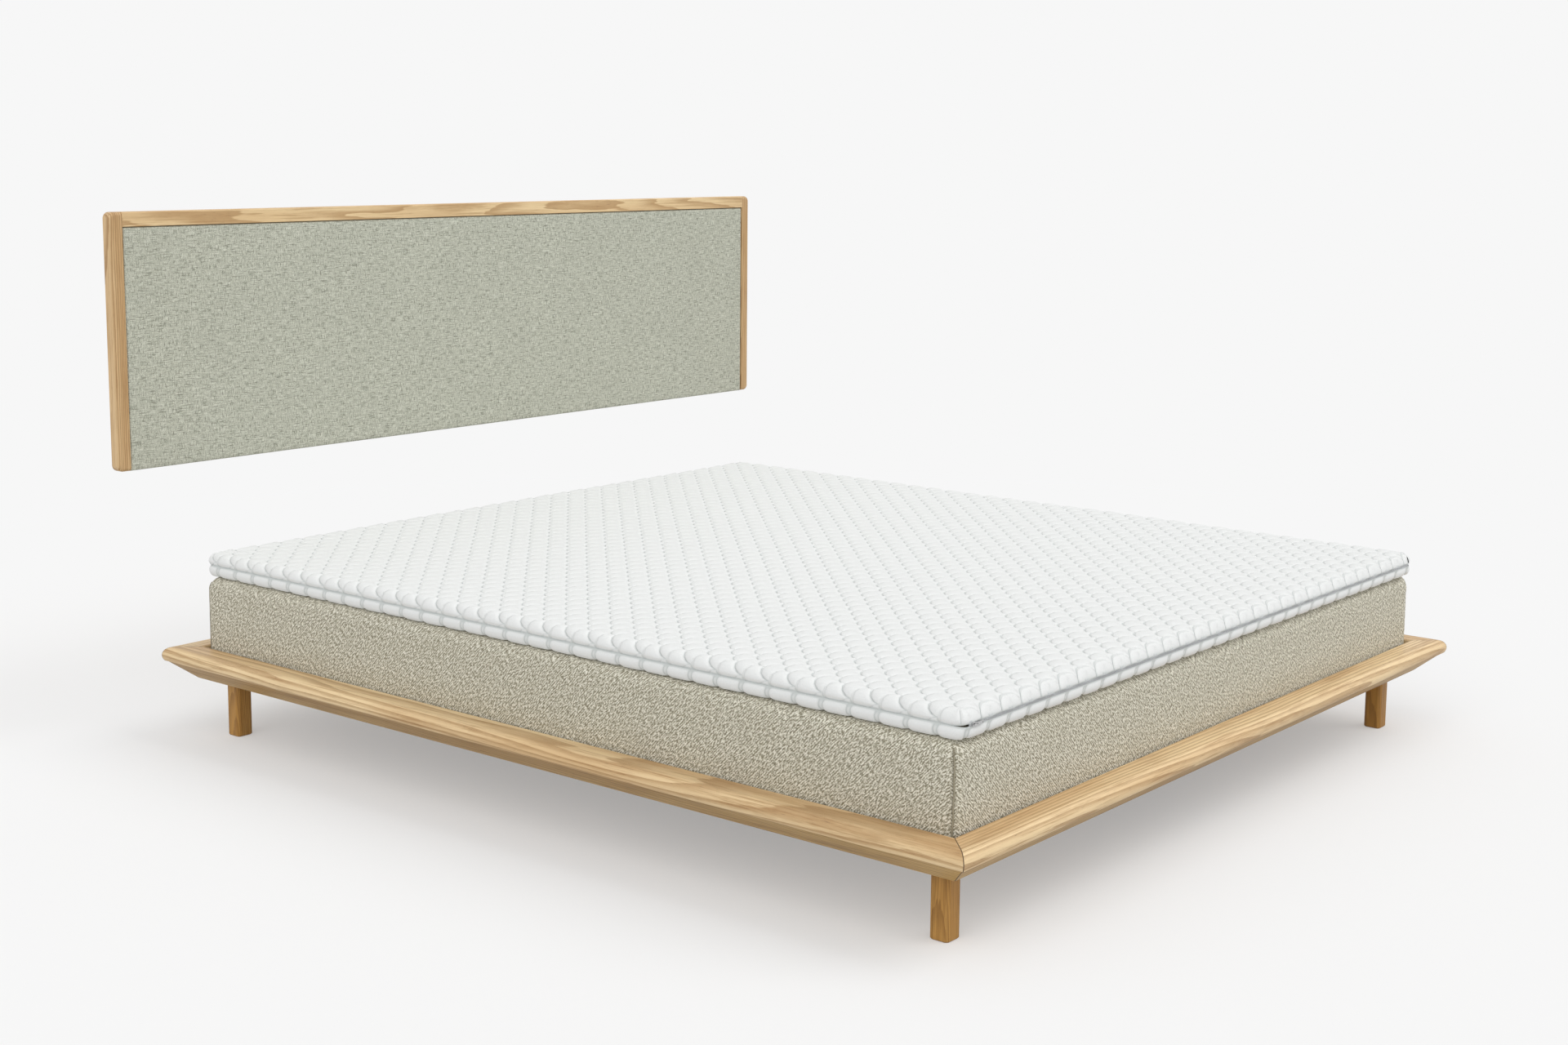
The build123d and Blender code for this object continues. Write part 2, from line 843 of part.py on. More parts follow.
back_half = headboard_width / 2 - stile_width + rebate_width
back_top = headboard_top - top_rail_height + rebate_width
screw_column_x = headboard_width / 2 - stile_width + rebate_width / 2
screw_row_z = headboard_top - top_rail_height + rebate_width / 2
screw_rise = (panel_top - headboard_bottom) / (back_screws_up + 1)
screw_run = 2 * panel_half / back_screws_across
back_screw_places = [
    seat(side * screw_column_x, back_board_y, headboard_bottom + (i + 1) * screw_rise, (0, -1, 0))
    for side in (-1, 1)
    for i in range(back_screws_up)
] + [
    seat((i - (back_screws_across - 1) / 2) * screw_run, back_board_y, screw_row_z, (0, -1, 0))
    for i in range(back_screws_across)
]


def back_screw_holes():
    """Cut the holes for the screws that hold the back board in its rebate."""
    with Locations(*back_screw_places):
        add(
            screw_hole(back_screw_length, back_screw_radius, back_screw_head),
            mode=Mode.SUBTRACT,
        )


def head_dowel_holes():
    """Cut the holes for the dowels that join the stiles to the top rail."""
    with Locations(*head_dowel_places):
        Cylinder(head_dowel_radius + thread_gap, head_dowel_length + 2, mode=Mode.SUBTRACT)


with BuildPart() as rebate:
    with Locations((0, pad_back_y + headboard_depth / 2, headboard_bottom)):
        Box(
            2 * (headboard_width / 2 - stile_width + rebate_width),
            headboard_depth,
            2 * (headboard_height - top_rail_height + rebate_width),
        )

for name, side in (("headboard_stile_left", -1), ("headboard_stile_right", 1)):
    with BuildPart() as stile:
        middle_x = side * (headboard_width / 2 - stile_width / 2)
        with Locations((middle_x, wall_y - headboard_depth / 2, headboard_bottom + headboard_height / 2)):
            Box(stile_width, headboard_depth, headboard_height)
        outer_face = stile.faces().sort_by(Axis.X)[0 if side < 0 else -1]
        fillet(outer_face.edges().filter_by(Axis.Y), stile_corner_radius)
        front_outline = [
            edge
            for edge in stile.faces().sort_by(Axis.Y)[0].edges()
            if side * (edge.center().X - middle_x) > stile_width / 4
        ]
        fillet(front_outline, stile_front_radius)
        add(rebate.part, mode=Mode.SUBTRACT)
        head_dowel_holes()
        back_screw_holes()
    save(stile.part, name)

with BuildPart() as headboard_top_rail:
    rail_length = headboard_width - 2 * stile_width
    with Locations((0, wall_y - headboard_depth / 2, rail_mid_z)):
        Box(rail_length, headboard_depth, top_rail_height)
    upper_front = headboard_top_rail.edges().filter_by(Axis.X).sort_by(lambda e: e.center().Y - e.center().Z)
    fillet(upper_front[0], rail_ease)
    add(rebate.part, mode=Mode.SUBTRACT)
    head_dowel_holes()
    back_screw_holes()
save(headboard_top_rail.part, "headboard_top_rail")

with BuildPart() as headboard_dowels:
    with Locations(*head_dowel_places):
        Cylinder(head_dowel_radius, head_dowel_length)
save(headboard_dowels.part, "headboard_dowels")


def panel_layer(inset, near_y, far_y, edge_round):
    """One layer of the padded panel between two depths, smaller by `inset` all round."""
    with BuildPart() as one:
        with BuildSketch(Plane.XZ.offset(-far_y)):
            with Locations((0, (headboard_bottom + panel_top) / 2)):
                Rectangle(
                    2 * (panel_half - inset), panel_top - headboard_bottom - 2 * inset
                )
        extrude(amount=far_y - near_y)
        if edge_round:
            fillet(one.faces().sort_by(Axis.Y)[0].edges(), edge_round)
    return one.part


pad_round = 5

with BuildPart() as headboard_linen:
    add(panel_layer(0, linen_front_y, pad_back_y, pad_round))
    add(
        panel_layer(linen_thickness, foam_front_y, pad_back_y + 1, pad_round - linen_thickness),
        mode=Mode.SUBTRACT,
    )
save(headboard_linen.part, "headboard_linen")

pad_inset = linen_thickness + soft_gap

with BuildPart() as headboard_pad_foam:
    add(panel_layer(pad_inset, foam_front_y + soft_gap, foam_back_y, pad_round - pad_inset))
save(headboard_pad_foam.part, "headboard_pad_foam")

with BuildPart() as headboard_pad_board:
    add(panel_layer(pad_inset, foam_back_y, pad_back_y, 0))
save(headboard_pad_board.part, "headboard_pad_board")

# Hangers: a hooked strip on the back board drops behind a hooked strip on the wall

hook_engagement = 16
hanger_flange = 24
hanger_z = headboard_bottom + headboard_height * 2 / 3
hanger_hole_radius = 2.25
hanger_hole_spacing = 100
hanger_screw_length = 8
hanger_screw_head = 3.6
hanger_screw_radius = 1.75
board_hook_y = wall_y - hook_gap - hanger_thickness
wall_hook_y = board_hook_y - hook_gap - hanger_thickness
hook_top = hanger_z + hook_engagement / 2
hook_bottom = hanger_z - hook_engagement / 2

hanger_screw_places = [
    seat(
        side * hanger_offset_x + end * hanger_hole_spacing / 2,
        back_board_y + hanger_thickness,
        hook_top + hanger_thickness + hanger_flange / 2,
        (0, -1, 0),
    )
    for side in (-1, 1)
    for end in (-1, 1)
]

with BuildPart() as headboard_back_board:
    with Locations((0, (pad_back_y + back_board_y) / 2, (headboard_bottom + back_top) / 2)):
        Box(
            2 * (back_half - soft_gap),
            back_board_thickness,
            back_top - headboard_bottom - 2 * soft_gap,
        )
    back_screw_holes()
    with Locations(*hanger_screw_places):
        add(
            screw_hole(hanger_screw_length, hanger_screw_radius, hanger_screw_head),
            mode=Mode.SUBTRACT,
        )
save(headboard_back_board.part, "headboard_back_board")

with BuildPart() as headboard_back_screws:
    with Locations(*back_screw_places):
        add(screw(back_screw_length, back_screw_radius, back_screw_head))
save(headboard_back_screws.part, "headboard_back_screws")


def hanger_strip(flange_y, hook_y, flange_low, flange_high, hook_low, hook_high, step_low):
    """A hooked strip: a screwed flange, a hook set off from it, and the step between."""
    near = min(flange_y, hook_y)
    far = max(flange_y, hook_y) + hanger_thickness
    with Locations(*[(side * hanger_offset_x, 0, 0) for side in (-1, 1)]):
        for y, z_low, z_high in (
            (flange_y, flange_low, flange_high),
            (hook_y, hook_low, hook_high),
        ):
            with Locations((0, y + hanger_thickness / 2, (z_low + z_high) / 2)):
                Box(hanger_length, hanger_thickness, z_high - z_low)
        with Locations((0, (near + far) / 2, step_low + hanger_thickness / 2)):
            Box(hanger_length, far - near, hanger_thickness)


with BuildPart() as wall_hangers:
    hanger_strip(
        wall_y - hanger_thickness,
        wall_hook_y,
        hook_bottom - hanger_flange,
        hook_bottom,
        hook_bottom,
        hook_top,
        hook_bottom - hanger_thickness,
    )
    with Locations(
        *[
            Plane(
                origin=(
                    side * hanger_offset_x + end * hanger_hole_spacing / 2,
                    wall_y,
                    hook_bottom - hanger_flange / 2,
                ),
                z_dir=(0, -1, 0),
            )
            for side in (-1, 1)
            for end in (-1, 1)
        ]
    ):
        Cylinder(hanger_hole_radius, 4 * hanger_thickness, mode=Mode.SUBTRACT)
save(wall_hangers.part, "wall_hangers")

with BuildPart() as headboard_hangers:
    hanger_strip(
        back_board_y,
        board_hook_y,
        hook_top,
        hook_top + hanger_thickness + hanger_flange,
        hook_bottom + hook_gap,
        hook_top,
        hook_top,
    )
    with Locations(*hanger_screw_places):
        add(
            screw_hole(hanger_screw_length, hanger_screw_radius, hanger_screw_head),
            mode=Mode.SUBTRACT,
        )
save(headboard_hangers.part, "headboard_hangers")

with BuildPart() as hanger_screws:
    with Locations(*hanger_screw_places):
        add(screw(hanger_screw_length, hanger_screw_radius, hanger_screw_head))
save(hanger_screws.part, "hanger_screws")
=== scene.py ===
import math

import bmesh
import bpy
import numpy as np
from mathutils import Matrix, Vector, noise


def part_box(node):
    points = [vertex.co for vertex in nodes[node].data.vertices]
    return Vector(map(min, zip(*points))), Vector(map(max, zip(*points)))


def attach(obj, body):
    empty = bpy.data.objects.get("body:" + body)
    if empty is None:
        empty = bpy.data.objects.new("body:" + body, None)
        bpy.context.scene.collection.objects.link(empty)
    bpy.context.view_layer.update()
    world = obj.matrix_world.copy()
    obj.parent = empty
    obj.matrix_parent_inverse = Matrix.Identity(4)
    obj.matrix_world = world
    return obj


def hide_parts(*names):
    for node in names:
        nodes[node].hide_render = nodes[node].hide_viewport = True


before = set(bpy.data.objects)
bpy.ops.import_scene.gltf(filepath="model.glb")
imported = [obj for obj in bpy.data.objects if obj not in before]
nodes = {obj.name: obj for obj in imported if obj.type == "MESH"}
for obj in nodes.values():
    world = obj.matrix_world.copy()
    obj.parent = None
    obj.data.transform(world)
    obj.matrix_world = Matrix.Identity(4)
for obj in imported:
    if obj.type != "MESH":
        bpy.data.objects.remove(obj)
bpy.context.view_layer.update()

# The bed's own places, read from the frame, in metres
board_low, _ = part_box("top_board_left")
foot_board_low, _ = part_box("top_board_foot")
upper_low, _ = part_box("topper_cover_upper")
cover_low, cover_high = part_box("mattress_cover")
linen_low, linen_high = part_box("headboard_linen")
bed_y = (cover_low.y + cover_high.y) / 2
seam_z = upper_low.z
frame_half_x = -board_low.x
frame_half_y = bed_y - foot_board_low.y
mm = 0.001


# Camera

def set_camera():
    """Stand the camera where the photograph's own camera stood, with its lens and its framing."""
    image_width, image_height = 1920, 1280
    place = Vector((-3.6890, -2.9613, 1.3395))
    turn, tilt, roll = math.radians(-52.41), math.radians(-8.57), math.radians(0.76)
    focal_pixels = 2643.2
    middle_pixel = (1047.0, 556.1)
    forward = Vector((math.sin(-turn) * math.cos(tilt), math.cos(-turn) * math.cos(tilt), math.sin(tilt)))
    level_right = forward.cross(Vector((0, 0, 1))).normalized()
    level_up = level_right.cross(forward)
    right = math.cos(roll) * level_right + math.sin(roll) * level_up
    up = math.cos(roll) * level_up - math.sin(roll) * level_right
    data = bpy.data.cameras.new("camera")
    data.sensor_width = 36
    data.lens = focal_pixels / image_width * data.sensor_width
    data.shift_x = (image_width / 2 - middle_pixel[0]) / image_width
    data.shift_y = (middle_pixel[1] - image_height / 2) / image_width
    data.clip_start = 0.05
    data.clip_end = 200
    camera = bpy.data.objects.new("camera", data)
    bpy.context.scene.collection.objects.link(camera)
    camera.matrix_world = Matrix.Translation(place) @ Matrix((right, up, -forward)).transposed().to_4x4()
    bpy.context.scene.camera = camera


set_camera()


# Shader helpers

def rgb(red, green, blue):
    """A colour written as it is seen, from 0 to 255, turned into the renderer's own linear values."""
    def linear(value):
        share = value / 255
        return share / 12.92 if share <= 0.04045 else ((share + 0.055) / 1.055) ** 2.4

    return (linear(red), linear(green), linear(blue), 1.0)


def put(tree, kind, values=(), **settings):
    """Add a node to a tree: settings are its properties, values fill its inputs with numbers or sockets."""
    node = tree.nodes.new("ShaderNode" + kind)
    for key, value in settings.items():
        setattr(node, key, value)
    for socket, value in dict(values).items():
        if isinstance(value, bpy.types.NodeSocket):
            tree.links.new(value, node.inputs[socket])
        else:
            node.inputs[socket].default_value = value
    return node


def sums(tree, operation, *values):
    """One step of arithmetic, as the output of a Math node."""
    return put(tree, "Math", dict(enumerate(values)), operation=operation).outputs[0]


def remap(tree, value, low, high, to_low=0.0, to_high=1.0, smooth=True):
    """Spread a value from one span onto another, held at both ends."""
    node = put(
        tree, "MapRange", {0: value, 1: low, 2: high, 3: to_low, 4: to_high},
        interpolation_type="SMOOTHSTEP" if smooth else "LINEAR",
    )
    return node.outputs[0]


def blend_colours(tree, share, first, second, kind="MIX"):
    """Mix two colours by a share from 0 to 1."""
    node = put(tree, "Mix", data_type="RGBA", blend_type=kind)
    for socket, value in ((0, share), (6, first), (7, second)):
        if isinstance(value, bpy.types.NodeSocket):
            tree.links.new(value, node.inputs[socket])
        else:
            node.inputs[socket].default_value = value
    return node.outputs[2]


def speckle(tree, place, scale, detail=2.0, rough=0.5, stretch=(1, 1, 1)):
    """A noise value between 0 and 1, stretched along the axes."""
    spread = put(tree, "VectorMath", {0: place, 1: stretch}, operation="MULTIPLY").outputs[0]
    return put(
        tree, "TexNoise", {"Vector": spread, "Scale": scale, "Detail": detail, "Roughness": rough}
    ).outputs["Fac"]


def group(name, inputs, outputs, build):
    """A shader node group with named inputs and outputs, made once."""
    tree = bpy.data.node_groups.new(name, "ShaderNodeTree")
    for label, kind, default in inputs:
        socket = tree.interface.new_socket(label, in_out="INPUT", socket_type="NodeSocket" + kind)
        if default is not None:
            socket.default_value = default
    for label, kind in outputs:
        tree.interface.new_socket(label, in_out="OUTPUT", socket_type="NodeSocket" + kind)
    source = tree.nodes.new("NodeGroupInput")
    sink = tree.nodes.new("NodeGroupOutput")
    for label, socket in build(tree, source.outputs).items():
        tree.links.new(socket, sink.inputs[label])
    return tree


def use(tree, shared, values):
    """Place a shared group in a tree and give its outputs."""
    node = tree.nodes.new("ShaderNodeGroup")
    node.node_tree = shared
    for socket, value in values.items():
        if isinstance(value, bpy.types.NodeSocket):
            tree.links.new(value, node.inputs[socket])
        else:
            node.inputs[socket].default_value = value
    return node.outputs


def new_material(name, **plain):
    """A material with one Principled shader, whose even values are set on its own sockets."""
    material = bpy.data.materials.new(name)
    material.use_nodes = True
    tree = material.node_tree
    shader = tree.nodes["Principled BSDF"]
    for socket, value in plain.items():
        shader.inputs[socket.replace("_", " ")].default_value = value
    place = put(tree, "TexCoord").outputs["Object"]
    return material, tree, shader, place


def finish_with(tree, shader, colour=None, rough=None, height=None, strength=0.5, depth=0.001):
    """Feed colour, roughness and a bump height into the shader."""
    if colour is not None:
        tree.links.new(colour, shader.inputs["Base Color"])
    if rough is not None:
        tree.links.new(rough, shader.inputs["Roughness"])
    if height is not None:
        bump = put(tree, "Bump", {"Height": height, "Strength": strength, "Distance": depth})
        tree.links.new(bump.outputs[0], shader.inputs["Normal"])


# Shared effects

def build_wood_figure(tree, given):
    """Growth rings round a log that lies along X, broken by drift, with pores and fibres along the grain."""
    place = given["Place"]
    parts = put(tree, "SeparateXYZ", {0: place}).outputs
    slow = speckle(tree, place, 1.0, 2.0, 0.5, (0.9, 7.0, 7.0))
    drift = sums(tree, "MULTIPLY", sums(tree, "SUBTRACT", slow, 0.5), 0.055)
    fine_slow = speckle(tree, place, 1.0, 3.0, 0.6, (3.0, 40.0, 40.0))
    ripple = sums(tree, "MULTIPLY", sums(tree, "SUBTRACT", fine_slow, 0.5), 0.007)
    lean = sums(tree, "MULTIPLY", parts[0], given["Lean"])
    across = sums(tree, "ADD", sums(tree, "ADD", parts[1], given["Heart"]), lean)
    depth = sums(tree, "ADD", parts[2], given["Heart depth"])
    radius = sums(
        tree, "SQRT", sums(tree, "ADD", sums(tree, "POWER", across, 2.0), sums(tree, "POWER", depth, 2.0))
    )
    radius = sums(tree, "ADD", sums(tree, "ADD", radius, drift), ripple)
    rings = sums(tree, "FRACT", sums(tree, "DIVIDE", radius, given["Ring"]))
    late = remap(tree, rings, 0.25, 0.95)
    drop = remap(tree, rings, 0.95, 1.0)
    ring = sums(tree, "SUBTRACT", late, drop)
    pores = speckle(tree, place, 1.0, 2.0, 0.6, (45.0, 1500.0, 1500.0))
    pore = sums(tree, "MULTIPLY", remap(tree, pores, 0.60, 0.72), remap(tree, ring, 0.2, 0.9, 0.35, 1.0))
    fibre = speckle(tree, place, 1.0, 4.0, 0.72, (6.0, 230.0, 230.0))
    tone = speckle(tree, place, 1.0, 2.0, 0.5, (1.3, 16.0, 16.0))
    cloud = speckle(tree, place, 1.0, 4.0, 0.65, (4.0, 36.0, 36.0))
    return {"Ring": ring, "Pore": pore, "Fibre": fibre, "Tone": tone, "Cloud": cloud}


wood_figure = group(
    "wood_figure",
    [
        ("Place", "Vector", None), ("Ring", "Float", 0.006), ("Heart", "Float", 0.02),
        ("Heart depth", "Float", 0.05), ("Lean", "Float", 0.02),
    ],
    [(label, "Float") for label in ("Ring", "Pore", "Fibre", "Tone", "Cloud")],
    build_wood_figure,
)


def build_cloth_plane(tree, given):
    """Flat cloth coordinates, in metres, for a cloth whose faces look along X, Y or Z."""
    place = put(tree, "SeparateXYZ", {0: given["Place"]}).outputs
    facing = put(tree, "NewGeometry").outputs["True Normal"]
    size = put(
        tree, "SeparateXYZ", {0: put(tree, "VectorMath", {0: facing}, operation="ABSOLUTE").outputs[0]}
    ).outputs
    to_side = sums(tree, "GREATER_THAN", size[0], size[1])
    flat = sums(tree, "GREATER_THAN", size[2], 0.8)
    along_side = put(tree, "Mix", {0: to_side, 2: place[0], 3: place[1]}).outputs[0]
    along = put(tree, "Mix", {0: flat, 2: along_side, 3: place[0]}).outputs[0]
    rise = put(tree, "Mix", {0: flat, 2: place[2], 3: place[1]}).outputs[0]
    return {"Cloth": put(tree, "CombineXYZ", {0: along, 1: rise}).outputs[0], "Side": to_side}


cloth_plane = group(
    "cloth_plane", [("Place", "Vector", None)], [("Cloth", "Vector"), ("Side", "Float")], build_cloth_plane
)


def build_yarns(tree, given):
    """Yarns that run both ways, with slubs: how light each is, and how high it stands."""
    place = given["Cloth"]
    parts = put(tree, "SeparateXYZ", {0: place}).outputs
    sway = sums(tree, "MULTIPLY", speckle(tree, place, 90.0), 0.9)

    def thread(axis):
        turns = sums(tree, "DIVIDE", parts[axis], given["Pitch"])
        angle = sums(tree, "MULTIPLY_ADD", turns, 2 * math.pi, sway)
        return sums(tree, "SINE", angle)

    weft, warp = thread(1), thread(0)
    height = sums(tree, "MULTIPLY", weft, warp)
    lying = speckle(tree, place, 1.0, 4.0, 0.68, (45.0, 420.0, 1.0))
    standing = speckle(tree, place, 1.0, 4.0, 0.68, (420.0, 75.0, 1.0))
    slub = sums(tree, "MAXIMUM", lying, standing)
    faint = sums(tree, "MINIMUM", lying, standing)
    fleck = speckle(tree, place, given["Fleck"], 1.0, 0.5)
    return {"Height": height, "Slub": slub, "Faint": faint, "Fleck": fleck}


yarns = group(
    "yarns",
    [("Cloth", "Vector", None), ("Pitch", "Float", 0.0016), ("Fleck", "Float", 700.0)],
    [("Height", "Float"), ("Slub", "Float"), ("Faint", "Float"), ("Fleck", "Float")],
    build_yarns,
)


# Wood

def along_grain(tree, place, grain, seed):
    """The place with the grain turned to X, and moved so that no two boards show the same figure."""
    parts = put(tree, "SeparateXYZ", {0: place}).outputs
    order = {"x": (0, 1, 2), "y": (1, 0, 2), "z": (2, 0, 1)}[grain]
    turned = put(tree, "CombineXYZ", {i: parts[k] for i, k in enumerate(order)}).outputs[0]
    move = (seed * 3.7, 0.0, 0.0)
    return put(tree, "VectorMath", {0: turned, 1: move}, operation="ADD").outputs[0]


def mitre_line(tree, place, colour):
    """A thin dark line where two boards meet at a corner of the frame."""
    parts = put(tree, "SeparateXYZ", {0: place}).outputs
    along = sums(tree, "ABSOLUTE", sums(tree, "SUBTRACT", parts[1], bed_y))
    in_x = sums(tree, "SUBTRACT", frame_half_x, sums(tree, "ABSOLUTE", parts[0]))
    in_y = sums(tree, "SUBTRACT", frame_half_y, along)
    away = sums(tree, "ABSOLUTE", sums(tree, "SUBTRACT", in_x, in_y))
    return blend_colours(tree, remap(tree, away, 1.6 * mm, 0.7 * mm, 0.0, 0.9), colour, rgb(70, 47, 26))


def wood(name, grain, seed, pale, mid, dark, pore, ring=0.006, heart=(0.0, 0.03), lean=0.015, shine=0.42,
         figure=0.5, mitred=False):
    """A wood finish with its grain along one axis of the bed.

    The heart is the log's middle, measured across the grain in metres from the middle of the bed, and the
    lean tilts the log, so that its rings run out in long arches.
    """
    material, tree, shader, place = new_material(name, Specular_IOR_Level=0.4)
    turned = along_grain(tree, place, grain, seed)
    seen = use(
        tree, wood_figure,
        {"Place": turned, "Ring": ring, "Heart": heart[0], "Heart depth": heart[1], "Lean": lean},
    )
    base = blend_colours(tree, remap(tree, seen["Tone"], 0.38, 0.64), pale, mid)
    base = blend_colours(tree, remap(tree, seen["Cloud"], 0.5, 0.72, 0.0, 0.5), base, dark)
    ringed = blend_colours(tree, sums(tree, "MULTIPLY", seen["Ring"], figure), base, dark)
    fibred = blend_colours(tree, remap(tree, seen["Fibre"], 0.47, 0.72, 0.0, 0.7), ringed, dark)
    colour = blend_colours(tree, sums(tree, "MULTIPLY", seen["Pore"], 0.75), fibred, pore)
    if mitred:
        colour = mitre_line(tree, place, colour)
    rough = remap(tree, seen["Fibre"], 0.2, 0.8, shine - 0.05, shine + 0.1)
    ring_dip = sums(tree, "MULTIPLY", seen["Ring"], -0.2)
    dips = sums(tree, "SUBTRACT", ring_dip, seen["Pore"])
    finish_with(tree, shader, colour, rough, dips, 0.35, 0.0004)
    return material


def wood_tones(pale, mid, dark, pore):
    """The four colours of one wood, each written as it is seen."""
    return {"pale": rgb(*pale), "mid": rgb(*mid), "dark": rgb(*dark), "pore": rgb(*pore)}


oak_tones = wood_tones((240, 213, 167), (220, 186, 138), (166, 124, 76), (116, 82, 46))
# partly painted shade: the aprons' tones are darker than the top boards', for the shade under the boards
shaded_apron_tones = wood_tones((207, 170, 104), (188, 148, 84), (134, 94, 44), (96, 65, 30))
leg_tones = wood_tones((210, 164, 94), (188, 138, 66), (126, 82, 28), (90, 58, 22))
rail_tones = wood_tones((238, 211, 164), (224, 192, 144), (180, 141, 94), (128, 94, 56))
stile_tones = wood_tones((222, 190, 144), (206, 170, 122), (160, 119, 72), (118, 84, 48))
pine_tones = wood_tones((228, 200, 150), (218, 184, 128), (186, 140, 84), (170, 124, 74))
beech_tones = wood_tones((224, 190, 150), (214, 178, 136), (190, 146, 104), (150, 108, 74))
ply_tones = wood_tones((220, 190, 144), (208, 174, 126), (184, 144, 96), (150, 112, 70))
hardboard_tones = wood_tones((132, 102, 72), (122, 92, 64), (100, 74, 50), (86, 62, 42))


def dress(name, material):
    """Give a carried-over piece its finish."""
    slots = nodes[name].data.materials
    slots.clear()
    slots.append(material)


# Every board has a heart and a seed of its own, so that no two show the same figure
grain_of_side = {"left": "y", "right": "y", "foot": "x", "head": "x"}
for seed, (side, grain) in enumerate(grain_of_side.items()):
    low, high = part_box(f"top_board_{side}")
    middle = (low.x + high.x) / 2 if grain == "y" else (low.y + high.y) / 2
    heart = (-middle + 0.012, -board_low.z + 0.045)
    dress(
        f"top_board_{side}",
        wood(
            f"oak_top_{side}", grain, seed, heart=heart, ring=0.010, lean=0.02, figure=0.6, mitred=True,
            **oak_tones,
        ),
    )
    apron_heart = (-middle + 0.03, -board_low.z + 0.10)
    dress(
        f"apron_{side}",
        wood(f"oak_apron_{side}", grain, seed + 5, heart=apron_heart, ring=0.005, mitred=True, **shaded_apron_tones),
    )

for seed, corner in enumerate(("foot_left", "foot_right", "head_left", "head_right")):
    low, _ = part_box(f"leg_{corner}")
    heart = (-low.x + 0.05, -low.y + 0.03)
    dress(
        f"leg_{corner}",
        wood(f"oak_leg_{corner}", "z", seed + 11, heart=heart, ring=0.0035, lean=0.03, **leg_tones),
    )
    block_low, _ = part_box(f"corner_block_{corner}")
    dress(
        f"corner_block_{corner}",
        wood(f"pine_block_{corner}", "x", seed + 20, heart=(-block_low.y, -0.1), ring=0.005, **pine_tones),
    )

for seed, name in enumerate(("headboard_stile_left", "headboard_stile_right", "headboard_top_rail")):
    low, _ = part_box(name)
    grain = "x" if name.endswith("rail") else "z"
    heart = (-low.y + 0.02, -low.z + 0.05) if grain == "x" else (-low.x + 0.045, -low.y + 0.02)
    tones = rail_tones if grain == "x" else stile_tones
    dress(
        name,
        wood(f"oak_{name}", grain, seed + 31, heart=heart, ring=0.005, lean=0.01, figure=0.75, **tones),
    )

for seed, name in enumerate(("ledger_left", "ledger_right")):
    dress(name, wood(f"pine_{name}", "y", seed + 41, heart=(0.9, -0.1), ring=0.005, **pine_tones))
for seed, name in enumerate(("slats_left", "slats_right")):
    dress(name, wood(f"beech_{name}", "x", seed + 51, heart=(0.3, -0.05), ring=0.004, **beech_tones))
dress("mitre_dowels", wood("beech_dowels", "z", 61, **beech_tones))
dress("headboard_dowels", wood("beech_headboard_dowels", "x", 62, **beech_tones))
dress("headboard_back_board", wood("plywood", "x", 63, heart=(-1.0, 0.4), ring=0.02, **ply_tones))
dress("headboard_pad_board", wood("hardboard", "x", 64, ring=0.09, figure=0.1, shine=0.6, **hardboard_tones))


# Metal, plastic and stuffing

def metal(name, colour, rough, scratch):
    """A metal finish with fine rubbing marks."""
    material, tree, shader, place = new_material(name, Metallic=1.0)
    rub = speckle(tree, place, 300.0, 4.0, 0.7, (1.0, 1.0, 0.12))
    cloud = speckle(tree, place, 18.0, 3.0, 0.6)
    dull = tuple(0.72 * c for c in colour[:3]) + (1.0,)
    tone = blend_colours(tree, remap(tree, cloud, 0.35, 0.75, 0.0, 0.6), colour, dull)
    shine = remap(tree, rub, 0.3, 0.7, rough - scratch, rough + scratch)
    finish_with(tree, shader, tone, shine, rub, 0.15, 0.0002)
    return material


def plain_plastic(name, colour, rough):
    """A moulded plastic with a fine grain."""
    material, tree, shader, place = new_material(name, Specular_IOR_Level=0.45)
    grain = speckle(tree, place, 1400.0, 2.0, 0.6)
    worn = tuple(1.2 * c for c in colour[:3]) + (1.0,)
    tone = blend_colours(tree, remap(tree, speckle(tree, place, 30.0), 0.4, 0.7), colour, worn)
    dull = remap(tree, grain, 0.3, 0.7, rough - 0.05, rough + 0.08)
    finish_with(tree, shader, tone, dull, grain, 0.25, 0.0002)
    return material


def stuffing(name, pale, dark, cell):
    """Foam, felt or fleece: a soft cellular or hairy surface."""
    material, tree, shader, place = new_material(name, Sheen_Weight=0.2, Sheen_Roughness=0.6)
    pores = speckle(tree, place, cell, 3.0, 0.7)
    cloud = speckle(tree, place, 9.0, 2.0, 0.5)
    tone = blend_colours(tree, remap(tree, pores, 0.35, 0.7), dark, pale)
    tone = blend_colours(tree, remap(tree, cloud, 0.3, 0.8, 0.0, 0.25), tone, dark)
    finish_with(tree, shader, tone, remap(tree, pores, 0.3, 0.7, 0.85, 1.0), pores, 0.5, 0.0005)
    return material


zinc = metal("zinc_plate", (0.72, 0.72, 0.70, 1.0), 0.34, 0.08)
aluminium = metal("mill_aluminium", (0.80, 0.81, 0.82, 1.0), 0.32, 0.1)
zip_metal = metal("zip_metal", (0.62, 0.62, 0.62, 1.0), 0.24, 0.06)
coated_steel = plain_plastic("coated_steel", (0.11, 0.11, 0.115, 1.0), 0.48)
foot_plastic = plain_plastic("foot_plastic", (0.05, 0.05, 0.052, 1.0), 0.55)
foam = stuffing("foam", rgb(240, 236, 220), rgb(214, 206, 182), 900.0)
felt = stuffing("felt", rgb(176, 176, 172), rgb(120, 120, 118), 700.0)
fleece = stuffing("spring_fleece", rgb(240, 240, 238), rgb(210, 210, 208), 1200.0)

